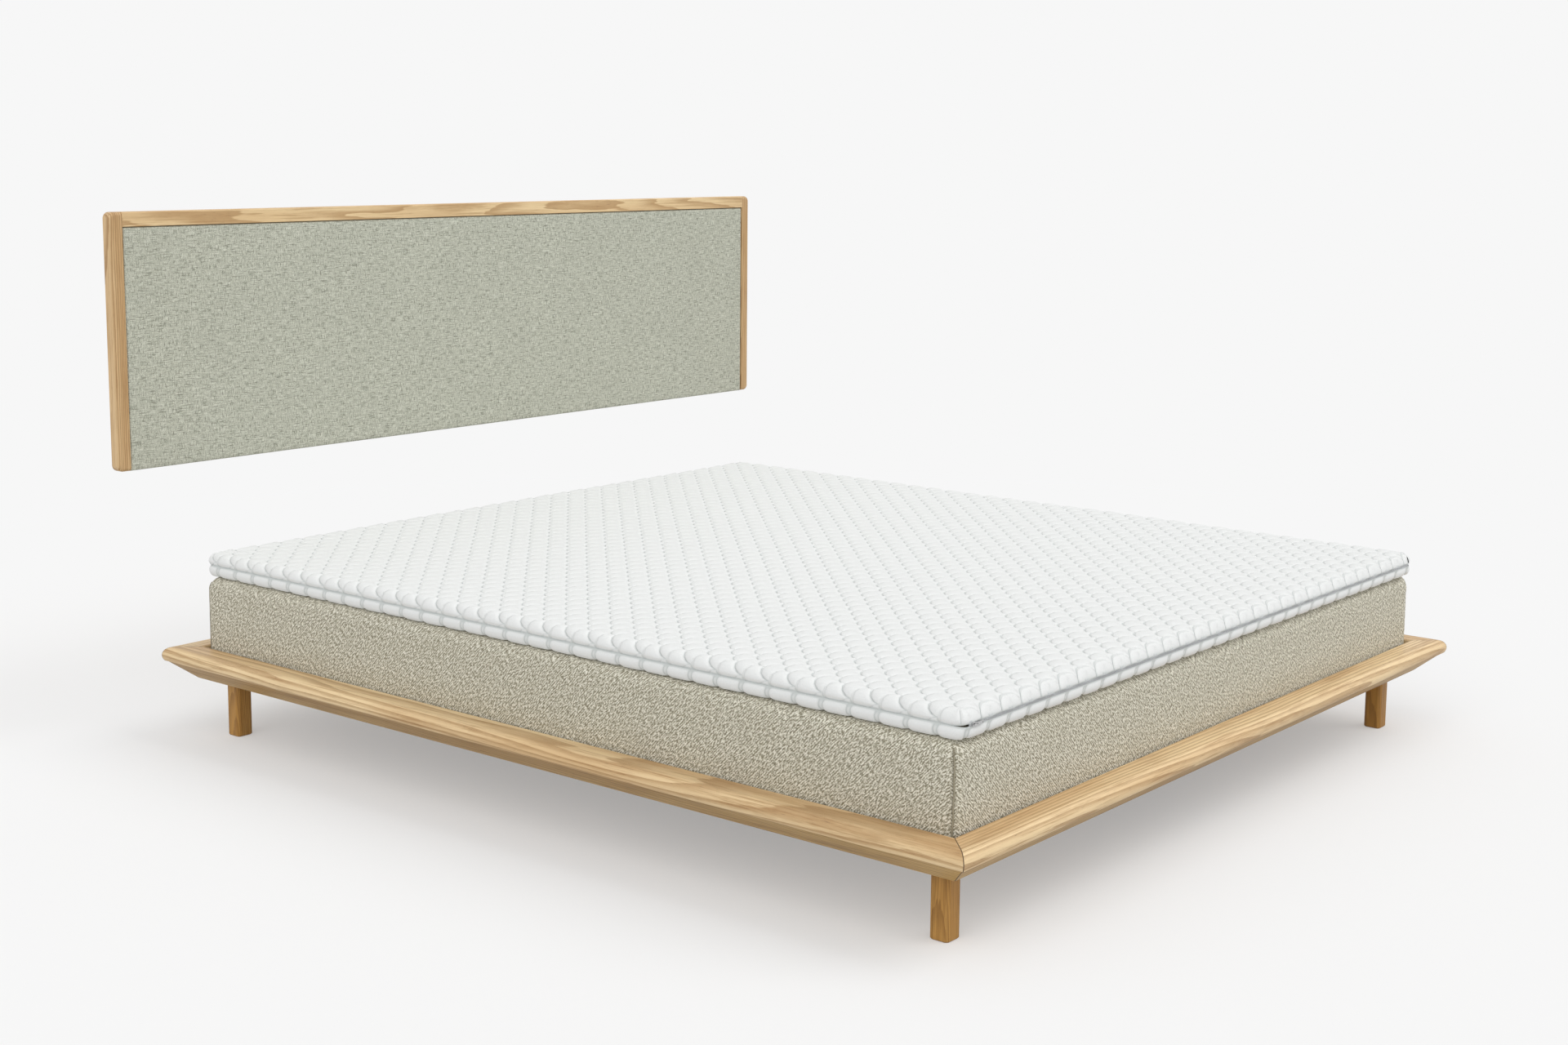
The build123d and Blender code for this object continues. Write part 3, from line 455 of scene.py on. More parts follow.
for name in (
    "leg_plates", "leg_bolts", "leg_plate_screws", "ledger_screws", "beam_cradles", "beam_screws",
    "slat_screws", "headboard_back_screws", "hanger_screws",
):
    dress(name, zinc)
for name in ("wall_hangers", "headboard_hangers"):
    dress(name, aluminium)
for name in ("zip_slider", "zip_pull"):
    dress(name, zip_metal)
for name in ("centre_beam", "centre_leg_foot_end", "centre_leg_middle", "centre_leg_head_end"):
    dress(name, coated_steel)
dress("centre_feet", foot_plastic)
for name in (
    "mattress_base_foam", "mattress_border_foam", "mattress_comfort_foam", "topper_foam", "headboard_pad_foam"
):
    dress(name, foam)
dress("mattress_felts", felt)
dress("mattress_springs", fleece)


# Cloth

def twill_cloth():
    """The mattress's beige-grey twill: slanting ribs, fainter and darker on the long sides as painted shade,
    under a mottle of yarns.
    """
    material, tree, shader, place = new_material(
        "twill", Sheen_Weight=0.12, Sheen_Roughness=0.5, Roughness=0.92
    )
    rib_spacing = 0.0056
    plane = use(tree, cloth_plane, {"Place": place})
    weave = use(tree, yarns, {"Cloth": plane["Cloth"], "Fleck": 420.0})
    parts = put(tree, "SeparateXYZ", {0: plane["Cloth"]}).outputs
    sway = sums(tree, "MULTIPLY", speckle(tree, plane["Cloth"], 60.0), 2.2)
    slant = sums(tree, "ADD", parts[0], parts[1])
    ribs = sums(tree, "SINE", sums(tree, "MULTIPLY_ADD", slant, 2 * math.pi / rib_spacing, sway))
    # painted shade: on the long sides the ribs are weakened, which also darkens the cloth there
    long_side_shade = remap(tree, plane["Side"], 0.0, 1.0, 1.0, 0.75)
    rib = sums(tree, "MULTIPLY", remap(tree, ribs, -0.6, 0.7), long_side_shade)
    tone = blend_colours(tree, rib, rgb(150, 143, 120), rgb(232, 228, 210))
    along_rib = sums(tree, "SUBTRACT", parts[0], parts[1])
    turned = put(tree, "CombineXYZ", {0: along_rib, 1: slant}).outputs[0]
    mottle = speckle(tree, turned, 1.0, 4.0, 0.7, (100.0, 240.0, 1.0))
    cloud = speckle(tree, plane["Cloth"], 14.0, 3.0, 0.6)
    for shares, strength, colour in (
        ((weave["Fleck"], 0.52, 0.64), 0.75, rgb(240, 237, 221)),
        ((weave["Fleck"], 0.48, 0.36), 0.8, rgb(126, 118, 95)),
        ((mottle, 0.5, 0.41), 0.85, rgb(126, 120, 98)),
        ((mottle, 0.5, 0.58), 0.9, rgb(246, 242, 227)),
        ((cloud, 0.3, 0.75), 0.14, rgb(172, 165, 142)),
    ):
        tone = blend_colours(tree, remap(tree, *shares, 0.0, strength), tone, colour)
    rib_height = sums(tree, "MULTIPLY", rib, 0.7)
    fleck_height = sums(tree, "MULTIPLY", weave["Fleck"], 0.9)
    height = sums(tree, "ADD", rib_height, fleck_height)
    finish_with(tree, shader, tone, None, height, 0.7, 0.0011)
    return material


def linen_cloth():
    """The headboard's grey-green linen, with slubs along both yarns."""
    material, tree, shader, place = new_material(
        "linen", Sheen_Weight=0.1, Sheen_Roughness=0.5, Roughness=0.92
    )
    plane = use(tree, cloth_plane, {"Place": place})
    weave = use(tree, yarns, {"Cloth": plane["Cloth"], "Pitch": 0.0021, "Fleck": 520.0})
    fleck = remap(tree, weave["Fleck"], 0.36, 0.64)
    body = blend_colours(tree, fleck, rgb(174, 175, 158), rgb(210, 212, 196))
    slub = remap(tree, weave["Slub"], 0.54, 0.66, 0.0, 0.8)
    slubbed = blend_colours(tree, slub, body, rgb(226, 227, 213))
    thin = remap(tree, weave["Faint"], 0.47, 0.36, 0.0, 0.85)
    faint = blend_colours(tree, thin, slubbed, rgb(120, 121, 106))
    cloud = speckle(tree, plane["Cloth"], 7.0, 3.0, 0.6)
    tone = blend_colours(tree, remap(tree, cloud, 0.3, 0.75, 0.0, 0.14), faint, rgb(164, 166, 152))
    height = sums(tree, "ADD", sums(tree, "MULTIPLY", weave["Height"], 0.35), weave["Slub"])
    finish_with(tree, shader, tone, None, height, 0.5, 0.0008)
    return material


def quilted_cloth():
    """White jersey over wadding, greyed as painted shade in its creases, with a second stitch line along each
    scale.
    """
    material, tree, shader, place = new_material(
        "quilted_knit", Sheen_Weight=0.15, Sheen_Roughness=0.4, Roughness=0.82
    )
    along = put(tree, "Attribute", attribute_name="scale_share").outputs["Fac"]
    puff = put(tree, "Attribute", attribute_name="puff").outputs["Fac"]
    knit = speckle(tree, place, 900.0, 2.0, 0.6)
    soft = speckle(tree, place, 45.0, 3.0, 0.6)
    line = sums(tree, "MULTIPLY", remap(tree, along, 0.84, 0.90), remap(tree, along, 0.96, 0.91))
    # painted shade: the knit is greyed where the puff is low, in the creases and along the seams
    painted_crease_shade = remap(tree, puff, 0.45, 0.0)
    white = blend_colours(tree, remap(tree, knit, 0.3, 0.7), rgb(227, 229, 228), rgb(238, 239, 238))
    crease_shaded_knit = blend_colours(tree, sums(tree, "MULTIPLY", painted_crease_shade, 0.75), white, rgb(194, 200, 198))
    # painted shade: the second stitch line is darkened in colour as well as sunk by the bump
    tone = blend_colours(tree, sums(tree, "MULTIPLY", line, 0.3), crease_shaded_knit, rgb(206, 211, 209))
    height = sums(tree, "ADD", sums(tree, "MULTIPLY", knit, 0.12), sums(tree, "MULTIPLY", line, -0.9))
    height = sums(tree, "ADD", height, sums(tree, "MULTIPLY", soft, 0.5))
    finish_with(tree, shader, tone, None, height, 0.6, 0.0011)
    return material


def tape_cloth(name, pale, dark, pitch):
    """Narrow woven tape, ribbed across its length."""
    material, tree, shader, place = new_material(name, Roughness=0.85)
    parts = put(tree, "SeparateXYZ", {0: place}).outputs
    along = sums(tree, "ADD", parts[0], parts[1])
    rib = sums(tree, "SINE", sums(tree, "MULTIPLY", along, 2 * math.pi / pitch))
    grain = speckle(tree, place, 1500.0, 2.0, 0.6)
    tone = blend_colours(tree, remap(tree, rib, -0.8, 0.8), dark, pale)
    tone = blend_colours(tree, remap(tree, grain, 0.3, 0.7, 0.0, 0.3), tone, dark)
    finish_with(tree, shader, tone, None, rib, 0.4, 0.0003)
    return material


twill = twill_cloth()
linen = linen_cloth()
quilted = quilted_cloth()
# painted shade: the corner seams' cord is coloured darker than the twill, for the shade along the seam
shaded_seam_cord = tape_cloth("shaded_seam_cord", rgb(166, 159, 138), rgb(118, 111, 92), 0.002)
zip_tape = tape_cloth("zip_tape", rgb(222, 224, 225), rgb(192, 195, 197), 0.0012)
webbing = tape_cloth("webbing", rgb(224, 222, 212), rgb(184, 180, 168), 0.002)
coil_plastic = plain_plastic("coil_plastic", rgb(206, 208, 210), 0.45)
dress("slat_webbing", webbing)
dress("zip_tape", zip_tape)


# Mesh helpers

def new_piece(name, points, faces, material, body, smooth=True):
    """Make a mesh piece from points and faces, let it ride on a body and take its finish."""
    mesh = bpy.data.meshes.new(name)
    mesh.from_pydata([tuple(p) for p in points], [], faces)
    mesh.materials.append(material)
    mesh.validate()
    if smooth:
        mesh.shade_smooth()
    piece = bpy.data.objects.new(name, mesh)
    bpy.context.scene.collection.objects.link(piece)
    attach(piece, body)
    return piece


def tag(piece, label, values):
    """Keep one number for each point of a piece, for its material to read."""
    store = piece.data.attributes.new(label, "FLOAT", "POINT")
    store.data.foreach_set("value", np.asarray(values, dtype=np.float32))


def ease(low, high, value):
    """A smooth step from 0 at low to 1 at high."""
    share = np.clip((value - low) / (high - low), 0, 1)
    return share * share * (3 - 2 * share)


def wander(points, size, reach, seed):
    """Slow, even drift for many points: each gets a number from -reach to reach."""
    return np.array([reach * noise.noise(Vector(p) / size + Vector((seed, 0, 0))) for p in points])


# Quilted topper covers. Both are sheets of stitched scales: the upper one folds down over the edge to the
# border seam, and the lower one is a flat base with a border of its own.

scale_radius = 30 * mm
puff_height = 4.8 * mm
# how round the topper's upper and lower edges are
edge_roll = 19 * mm
under_roll = 12 * mm
# how far the stitches lie inside the CAD cover
stitch_level = 2.4 * mm
# at the border seam the cloth turns in by the tuck, and lies the pull inside its own stitches
seam_tuck = 0.8 * mm
seam_pull = 0.6 * mm
# along the foot the cover's edges stand out over the tape, and stop short of the coil
zip_cover = 2.2 * mm
zip_edge = 2.2 * mm
# a place in a scale where no second stitch line is drawn
no_stitch = 0.5


def scale_cell(half_columns, levels):
    """One scale's points in flat cloth: a dome towards +Y over a tip, cut by the domes of the row below."""
    share = np.arange(-half_columns, half_columns + 1) / half_columns
    across = np.sign(share) * scale_radius / 2 * (1 - np.cos(np.pi * np.abs(share)))
    dome = np.sqrt(np.maximum(0, scale_radius**2 - across**2))
    below = np.sqrt(np.maximum(0, scale_radius**2 - (scale_radius - np.abs(across)) ** 2)) - scale_radius
    level = np.array(levels)[:, None]
    x = np.broadcast_to(across, (len(levels), len(across)))
    y = below + level * (dome - below)
    return x, y, np.broadcast_to(level, x.shape)


def puff_of(x, y):
    """How high a point of a scale is, from 0 to 1: each stitched dome is creased deeper on its -X flank."""
    dent = 0
    for middle_x, middle_y in ((0, 0), (-scale_radius, -scale_radius), (scale_radius, -scale_radius)):
        reach = np.abs(np.hypot(x - middle_x, y - middle_y) - scale_radius)
        share = np.clip(reach / (0.36 * scale_radius), 0, 1)
        flank = 0.5 + 0.5 * ease(0.35, -0.25, (x - middle_x) / scale_radius)
        dent = np.maximum(dent, flank * (1 - share) ** 2.4)
    return 1 - dent


def flat_quilting(half_x, half_y, phase, half_columns, levels):
    """A flat sheet of stitched scales over the given half sizes, as points, puffs, shares and faces."""
    x, y, share = scale_cell(half_columns, levels)
    puff = puff_of(x, y)
    rows, columns = x.shape
    corner = np.arange(rows * columns).reshape(rows, columns)
    quads = np.stack([corner[:-1, :-1], corner[:-1, 1:], corner[1:, 1:], corner[1:, :-1]], -1).reshape(-1, 4)
    count_x = int(half_x / scale_radius) + 3
    count_y = int(half_y / scale_radius) + 3
    centres = [
        (phase[0] + i * scale_radius, phase[1] + j * scale_radius)
        for i in range(-count_x, count_x + 1)
        for j in range(-count_y, count_y + 1)
        if (i + j) % 2 == 0
    ]
    centres = np.array(centres)
    flat_x = (centres[:, :1] + x.reshape(1, -1)).reshape(-1)
    flat_y = (centres[:, 1:] + y.reshape(1, -1)).reshape(-1)
    faces = (quads[None] + (np.arange(len(centres)) * rows * columns)[:, None, None]).reshape(-1, 4)
    keys = np.round(np.stack([flat_x, flat_y], 1) / (0.01 * mm)).astype(np.int64)
    _, first, back = np.unique(keys, axis=0, return_index=True, return_inverse=True)
    back = back.reshape(-1)
    puffs = np.tile(puff.reshape(-1), len(centres))
    shares = np.tile(share.reshape(-1), len(centres))
    return flat_x[first], flat_y[first], puffs[first], shares[first], back[faces]


def cut_sheet(x, y, puff, share, faces, cuts_x, cuts_y, keep):
    """Cut the flat sheet along straight lines and keep the faces that `keep` wants."""
    bm = bmesh.new()
    puff_layer = bm.verts.layers.float.new("puff")
    share_layer = bm.verts.layers.float.new("scale_share")
    points = [bm.verts.new((a, b, 0)) for a, b in zip(x, y)]
    for point, point_puff, point_share in zip(points, puff, share):
        point[puff_layer] = point_puff
        point[share_layer] = point_share
    for face in faces:
        ring = [k for n, k in enumerate(face) if k != face[n - 1]]
        if len(set(ring)) > 2:
            bm.faces.new([points[k] for k in ring])
    for axis, places in ((0, cuts_x), (1, cuts_y)):
        for at in places:
            normal = (1, 0, 0) if axis == 0 else (0, 1, 0)
            bmesh.ops.bisect_plane(
                bm, geom=bm.verts[:] + bm.edges[:] + bm.faces[:], dist=1e-7,
                plane_co=(at, at, 0), plane_no=normal,
            )
    unwanted = [face for face in bm.faces if not keep(*face.calc_center_median().xy)]
    bmesh.ops.delete(bm, geom=unwanted, context="FACES")
    bm.verts.ensure_lookup_table()
    bm.verts.index_update()
    flat = np.array([v.co[:] for v in bm.verts])
    puffs = np.array([v[puff_layer] for v in bm.verts])
    shares = np.array([v[share_layer] for v in bm.verts])
    rings = [[v.index for v in f.verts] for f in bm.faces]
    bm.free()
    return flat[:, 0], flat[:, 1], puffs, shares, rings


def fold(depth, roll, drop):
    """A border's path from the flat edge: out and down round the roll, straight down, then tucked in."""
    quarter = roll * math.pi / 2
    angle = np.clip(depth / roll, 0, math.pi / 2)
    straight = np.clip(depth - quarter, 0, drop - roll)
    tuck = np.maximum(0, depth - quarter - (drop - roll))
    out = roll * np.sin(angle) - tuck
    down = roll * (1 - np.cos(angle)) + straight
    return out, down, np.sin(angle), np.cos(angle)


def half_cover_size(node):
    """A half cover's half width and half length at the level of its stitches, and its box's corners."""
    low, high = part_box(node)
    half_x = (high.x - low.x) / 2 - stitch_level
    half_y = (high.y - low.y) / 2 - stitch_level
    return half_x, half_y, low, high


def upper_quilting():
    """The upper half cover: the top's scales run on over the edge and down to the seam."""
    half_x, half_y, _, high = half_cover_size("topper_cover_upper")
    flat_x, flat_y = half_x - edge_roll, half_y - edge_roll
    outer_z = high.z - stitch_level
    drop_side = outer_z - seam_z
    drop_foot = drop_side - zip_edge
    bend = edge_roll * math.pi / 2 - edge_roll + seam_tuck
    reach_side, reach_foot = bend + drop_side, bend + drop_foot

    def wanted(x, y):
        if abs(x) > flat_x + reach_side or y > flat_y + reach_side or y < -flat_y - reach_foot:
            return False
        return abs(x) < flat_x or abs(y) < flat_y

    # a column of scales lies along the middle of the left border
    phase = ((flat_x + 0.72 * reach_side) % scale_radius, 4 * mm)
    sheet = flat_quilting(
        flat_x + reach_side, flat_y + reach_side, (-phase[0], phase[1]),
        half_columns=5, levels=(0, 0.07, 0.28, 0.72, 0.93, 1),
    )
    sheet_x, sheet_y, puff, share, faces = cut_sheet(
        *sheet,
        (-flat_x - reach_side, -flat_x, flat_x, flat_x + reach_side),
        (-flat_y - reach_foot, -flat_y, flat_y, flat_y + reach_side),
        wanted,
    )
    side_depth = np.maximum(0, np.abs(sheet_x) - flat_x)
    end_depth = np.maximum(0, np.abs(sheet_y) - flat_y)
    foot = sheet_y < -flat_y
    side_out, side_down, side_lean, side_rise = fold(side_depth, edge_roll, drop_side)
    end_out, end_down, end_lean, end_rise = fold(end_depth, edge_roll, np.where(foot, drop_foot, drop_side))
    on_side, on_end = side_depth > 0, end_depth > 0
    x = np.clip(sheet_x, -flat_x, flat_x) + np.sign(sheet_x) * side_out * on_side
    y = np.clip(sheet_y, -flat_y, flat_y) + np.sign(sheet_y) * end_out * on_end
    down = side_down + end_down
    normal_x = np.sign(sheet_x) * side_lean * on_side
    normal_y = np.sign(sheet_y) * end_lean * on_end
    normal_z = np.where(on_side, side_rise, np.where(on_end, end_rise, 1.0))
    # the stitched puffs flatten towards the corner seams and are pulled in at the border seam
    gap_on_end = np.where(on_end, flat_x - np.abs(sheet_x), 1.0)
    corner_gap = np.where(on_side, flat_y - np.abs(sheet_y), gap_on_end)
    near_corner = ease(0, 26 * mm, corner_gap)
    hold = np.minimum(
        seam_hold(side_depth, reach_side), seam_hold(end_depth, np.where(foot, reach_foot, reach_side))
    )
    rise = puff_height * (puff * near_corner + 0.6 * (1 - near_corner)) * hold
    lift = rise + np.where(foot, zip_cover, -seam_pull) * (1 - hold)
    points = np.stack([x + normal_x * lift, y + normal_y * lift, normal_z * lift - down], 1)
    # the top lies in slow waves that die out at the border seam
    waves = wander(points, 0.45, 1.6 * mm, 7.0)
    points[:, 2] += waves * np.clip(1 + points[:, 2] / drop_foot, 0, 1)
    # the puff kept for the material drops at the border seam, where the material paints shade
    puff = puff * hold
    for patch_points, patch_faces, patch_puff in corner_patches(flat_x, flat_y, drop_side, drop_foot):
        start = len(points)
        points = np.concatenate([points, patch_points])
        puff = np.concatenate([puff, patch_puff])
        share = np.concatenate([share, np.full(len(patch_points), no_stitch)])
        faces += [[k + start for k in f] for f in patch_faces]
    points[:, 1] += bed_y
    points[:, 2] += outer_z
    piece = new_piece("topper_upper_quilting", points, faces, quilted, "topper")
    tag(piece, "puff", puff)
    tag(piece, "scale_share", share)
    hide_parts("topper_cover_upper")


def seam_hold(depth, reach):
    """How free the padding is at a depth: 1 in the open, 0 where the border seam holds it down."""
    return ease(reach - seam_tuck, reach - seam_tuck - 9 * mm, depth)


def corner_patches(flat_x, flat_y, drop_side, drop_foot):
    """The rounded corners of the upper cover, each with its gathered seam half way round."""
    turns, steps = 16, 18
    for side in (-1, 1):
        for end in (-1, 1):
            drop_end = drop_foot if end < 0 else drop_side
            points, puffs = [], []
            for i in range(turns + 1):
                turn = i / turns * math.pi / 2
                drop = drop_side + (drop_end - drop_side) * i / turns
                reach = edge_roll * math.pi / 2 + drop - edge_roll + seam_tuck
                depth = np.linspace(0, reach, steps + 1)
                out, down, lean, rise = fold(depth, edge_roll, drop)
                hold = seam_hold(depth, reach)
                seam = math.exp(-((turn - math.pi / 4) / 0.12) ** 2)
                lobe = 1 + 0.5 * math.sin(2 * turn) ** 2 - 1.5 * seam * ease(0, 12 * mm, depth)
                to_foot = i / turns if end < 0 else 0.0
                edge = zip_cover * to_foot - seam_pull * (1 - to_foot)
                lift = 0.6 * puff_height * lobe * hold + edge * (1 - hold)
                reach_out = out + lean * lift
                x = side * (flat_x + math.cos(turn) * reach_out)
                y = end * (flat_y + math.sin(turn) * reach_out)
                points.append(np.stack([x, y, rise * lift - down], 1))
                # the puff kept for the material drops at the corner seam and the border seam, where the
                # material paints shade
                puffs.append((1 - 0.9 * seam) * hold)
            faces = []
            for i in range(turns):
                for k in range(steps):
                    a, b = i * (steps + 1) + k, (i + 1) * (steps + 1) + k
                    ring = [a, a + 1, b + 1, b]
                    faces.append(ring if side * end > 0 else ring[::-1])
            yield np.concatenate(points), faces, np.concatenate(puffs)


def border_path(half_x, half_y, corner):
    """The topper's plan outline, walked from the foot's left end: a function of distance, and its length."""
    straight_x, straight_y = 2 * (half_x - corner), 2 * (half_y - corner)
    arc = corner * math.pi / 2
    legs = ((straight_x, 0.0), (straight_y, 90.0), (straight_x, 180.0), (straight_y, 270.0))
    total = 2 * (straight_x + straight_y) + 4 * arc

    def at(distance):
        """The place, and the way out, as plan vectors."""
        left = distance % total
        x, y = -half_x + corner, -half_y
        for length, heading in legs:
            along = np.array([math.cos(math.radians(heading)), math.sin(math.radians(heading))])
            out = np.array([along[1], -along[0]])
            if left <= length:
                return np.array([x, y]) + along * left, out
            x, y = x + along[0] * length, y + along[1] * length
            left -= length
            if left <= arc:
                turn = left / corner
                centre = np.array([x, y]) - out * corner
                swung = out * math.cos(turn) + along * math.sin(turn)
                return centre + swung * corner, swung
            centre = np.array([x, y]) - out * corner
            x, y = centre + along * corner
            left -= arc
        return np.array([x, y]), out

    return at, total


def lower_quilting():
    """The lower half cover: a scaled base, and a border of puffs parted by pairs of stitched arcs."""
    half_x, half_y, low, _ = half_cover_size("topper_cover_lower")
    outer_z = low.z + stitch_level
    flat_x, flat_y = half_x - under_roll, half_y - under_roll
    base_puff = 2.2 * mm
    lap = 2 * mm

    def wanted(x, y):
        return abs(x) < flat_x + lap and abs(y) < flat_y + lap

    cuts_x = (-flat_x - lap, flat_x + lap)
    cuts_y = (-flat_y - lap, flat_y + lap)
    sheet = flat_quilting(flat_x, flat_y, (-1 * mm, 11 * mm), half_columns=3, levels=(0, 0.15, 0.85, 1))
    sheet_x, sheet_y, puff, share, faces = cut_sheet(*sheet, cuts_x, cuts_y, wanted)
    base = np.stack([sheet_x, sheet_y + bed_y, outer_z - base_puff * puff], 1)
    faces = [f[::-1] for f in faces]

    at, total = border_path(half_x, half_y, 24 * mm - stitch_level)
    period = total / round(total / (2 * scale_radius))
    # half the distance between the two stitched lines of a pair
    pair = 4.5 * mm
    # the border's points: along it from the middle of each pair, and up it from under the base
    marks = np.array([-26, -18, -12, -8, -6, -4.5, -3, 0, 3, 4.5, 6, 8, 12, 18, 26]) * mm
    rows = np.array([-10, -4, 0, 3, 6, 9, 12, 15, 18, 21, 24, 26.5, 28.3, 29]) * mm
    columns = [n * period + m for n in range(round(total / period)) for m in marks]
    border, border_puff = [], []
    for column in columns:
        mark = (column + period / 2) % period - period / 2
        away = min(abs(mark - pair), abs(mark + pair))
        soft = 1 - (1 - min(1.0, away / (8 * mm))) ** 2.4
        if abs(mark) < pair:
            soft = 0.3 * (1 - (mark / pair) ** 2)
        middle, _ = at(column)
        on_foot = ease(-half_y + 12 * mm, -half_y + 2 * mm, middle[1])
        drop = seam_z - outer_z - zip_edge * on_foot
        reach = under_roll * math.pi / 2 + drop - under_roll + seam_tuck
        depth = np.where(rows > 0, rows / rows[-1] * reach, rows)
        path_out, rise, lean, fall = fold(np.maximum(depth, 0), under_roll, drop)
        path_out = path_out + np.minimum(depth, 0)
        hold = seam_hold(depth, reach)
        height = base_puff + 1.5 * mm * ease(0, 9 * mm, depth)
        wobble = 0.25 * noise.noise(Vector((column * 11, 3.0, 0)))
        edge = zip_cover * on_foot - seam_pull * (1 - on_foot)
        lift = height * soft * hold * (1 + wobble) + edge * (1 - hold)
        bow = 6 * mm * (1 - (2 * np.clip(depth / reach, 0, 1) - 1) ** 2)
        for r in range(len(rows)):
            place, way = at(column - bow[r])
            shift = path_out[r] - under_roll + lean[r] * lift[r]
            x, y = place + way * shift
            border.append((x, y + bed_y, outer_z + rise[r] - fall[r] * lift[r]))
            # the puff kept for the material is low between each pair of arcs and at the seam, where the
            # material paints shade
            border_puff.append(soft * hold[r] if depth[r] > 0 else 1.0)
    start, count, tall = len(base), len(columns), len(rows)
    for c in range(count):
        for r in range(tall - 1):
            a, b = start + c * tall + r, start + (c + 1) % count * tall + r
            faces.append([a, b, b + 1, a + 1])
    points = np.concatenate([base, np.array(border)])
    piece = new_piece("topper_lower_quilting", points, faces, quilted, "topper")
    tag(piece, "puff", np.concatenate([puff, border_puff]))
    tag(piece, "scale_share", np.concatenate([share, np.full(len(border), no_stitch)]))
    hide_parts("topper_cover_lower")


upper_quilting()
lower_quilting()


# Zip coil: two rows of small plastic loops, in the space that the coil's strips take

def zip_coil_loops():
    """Make the coil as bent loops at the zip's own pitch."""
    low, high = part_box("zip_coil")
    middle = (low.z + high.z) / 2
    pitch, wire = 2.0 * mm, 0.34 * mm
    gap = 0.1 * mm
    outer = (high.z - low.z) / 2
    points, faces = [], []
    count = int((high.x - low.x) / pitch)
    front, back = low.y + wire, high.y - wire
    for side in (-1, 1):
        for n in range(count):
            x = low.x + (n + 0.5 + 0.25 * side) * pitch
            path = [
                (x, back, middle + side * (outer - wire)),
                (x, front, middle + side * (outer - wire)),
                (x, front, middle + side * (gap + wire)),
                (x, back, middle + side * (gap + wire)),
            ]
            start = len(points)
            for px, py, pz in path:
                for a, b in ((-1, -1), (1, -1), (1, 1), (-1, 1)):
                    lean_y = b * wire if py == front else 0.0
                    lean_z = b * wire if py == back else 0.0
                    points.append((px + a * wire, py + lean_y, pz + lean_z * side))
            for k in range(3):
                for c in range(4):
                    a, b = start + k * 4 + c, start + k * 4 + (c + 1) % 4
                    faces.append([a, b, b + 4, a + 4])
    piece = new_piece("zip_coil_loops", points, faces, coil_plastic, "topper")
    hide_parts("zip_coil")


zip_coil_loops()


# Mattress cover

def ladder_steps(half, margin, fine, coarse):
    """Places along one axis, close together near both ends and further apart between."""
    rim = np.linspace(0, margin, round(margin / fine) + 1)
    count = max(2, round((2 * half - 2 * margin) / coarse))
    middle = np.linspace(-half + margin, half - margin, count + 1)
    return np.concatenate([-half + rim[:-1], middle, half - rim[:-1][::-1]])


def rounded_block(half_x, half_y, low_z, high_z, upright, low_edge, top_edge):
    """A closed block with rounded uprights and edges, and finer faces where it bends: points and faces."""
    half_z = (high_z - low_z) / 2
    halves = (half_x, half_y, half_z)
    fine, coarse = 5.5 * mm, (0.03, 0.03, 0.02)
    steps = [ladder_steps(half, min(33 * mm, 0.8 * half), fine, gap) for half, gap in zip(halves, coarse)]
    last = [len(line) - 1 for line in steps]
    index, points, faces = {}, [], []

    def point(key):
        if key not in index:
            index[key] = len(points)
            points.append([steps[a][key[a]] for a in range(3)])
        return index[key]

    for axis in range(3):
        u, v = (axis + 1) % 3, (axis + 2) % 3
        for level in (0, last[axis]):
            for i in range(last[u]):
                for k in range(last[v]):
                    ring = []
                    for di, dk in ((0, 0), (1, 0), (1, 1), (0, 1)):
                        key = [0, 0, 0]
                        key[axis], key[u], key[v] = level, i + di, k + dk
                        ring.append(point(tuple(key)))
                    faces.append(ring if level else ring[::-1])
    place = np.array(points)
    edge = np.where(place[:, 2] > 0, top_edge, low_edge)
    core = np.clip(place[:, :2], [-half_x + upright, -half_y + upright], [half_x - upright, half_y - upright])
    lean = place[:, :2] - core
    length = np.maximum(np.hypot(lean[:, 0], lean[:, 1]), 1e-9)
    way = lean / length[:, None]
    radial = np.max(np.abs(lean), axis=1)
    over_side = np.maximum(radial - (upright - edge), 0)
    over_top = np.maximum(np.abs(place[:, 2]) - (half_z - edge), 0)
    both = (over_side > 0) & (over_top > 0)
    shrink = np.where(
        both, np.maximum(over_side, over_top) / np.maximum(np.hypot(over_side, over_top), 1e-9), 1.0
    )
    radial = np.where(both, upright - edge + over_side * shrink, radial)
    height = np.where(both, half_z - edge + over_top * shrink, np.abs(place[:, 2]))
    place[:, :2] = core + way * radial[:, None]
    place[:, 2] = np.sign(place[:, 2]) * height + (low_z + high_z) / 2
    return place, faces


def settle(piece, cap, pressure, frames=20):
    """Blow the cover up with a cloth simulation, and hold each point near where it began."""
    start = np.array([v.co[:] for v in piece.data.vertices])
    scene = bpy.context.scene
    cloth = piece.modifiers.new("swell", "CLOTH")
    cloth.settings.use_pressure = True
    cloth.settings.uniform_pressure_force = pressure
    cloth.settings.effector_weights.gravity = 0
    cloth.settings.quality = 4
    cloth.settings.mass = 0.4
    cloth.settings.tension_stiffness = 25
    cloth.settings.compression_stiffness = 25
    cloth.settings.shear_stiffness = 10
    cloth.settings.bending_stiffness = 2
    cloth.point_cache.frame_start = 1
    cloth.point_cache.frame_end = frames
    for number in range(1, frames + 1):
        scene.frame_set(number)
    held = piece.evaluated_get(bpy.context.evaluated_depsgraph_get())
    moved = np.array([v.co[:] for v in held.data.vertices])
    piece.modifiers.remove(cloth)
    scene.frame_set(1)
    shift = moved - start
    length = np.linalg.norm(shift, axis=1)
    limit = np.minimum(1, cap / np.maximum(length, 1e-9))
    piece.data.vertices.foreach_set("co", (start + shift * limit[:, None]).reshape(-1).astype(np.float32))
    piece.data.update()


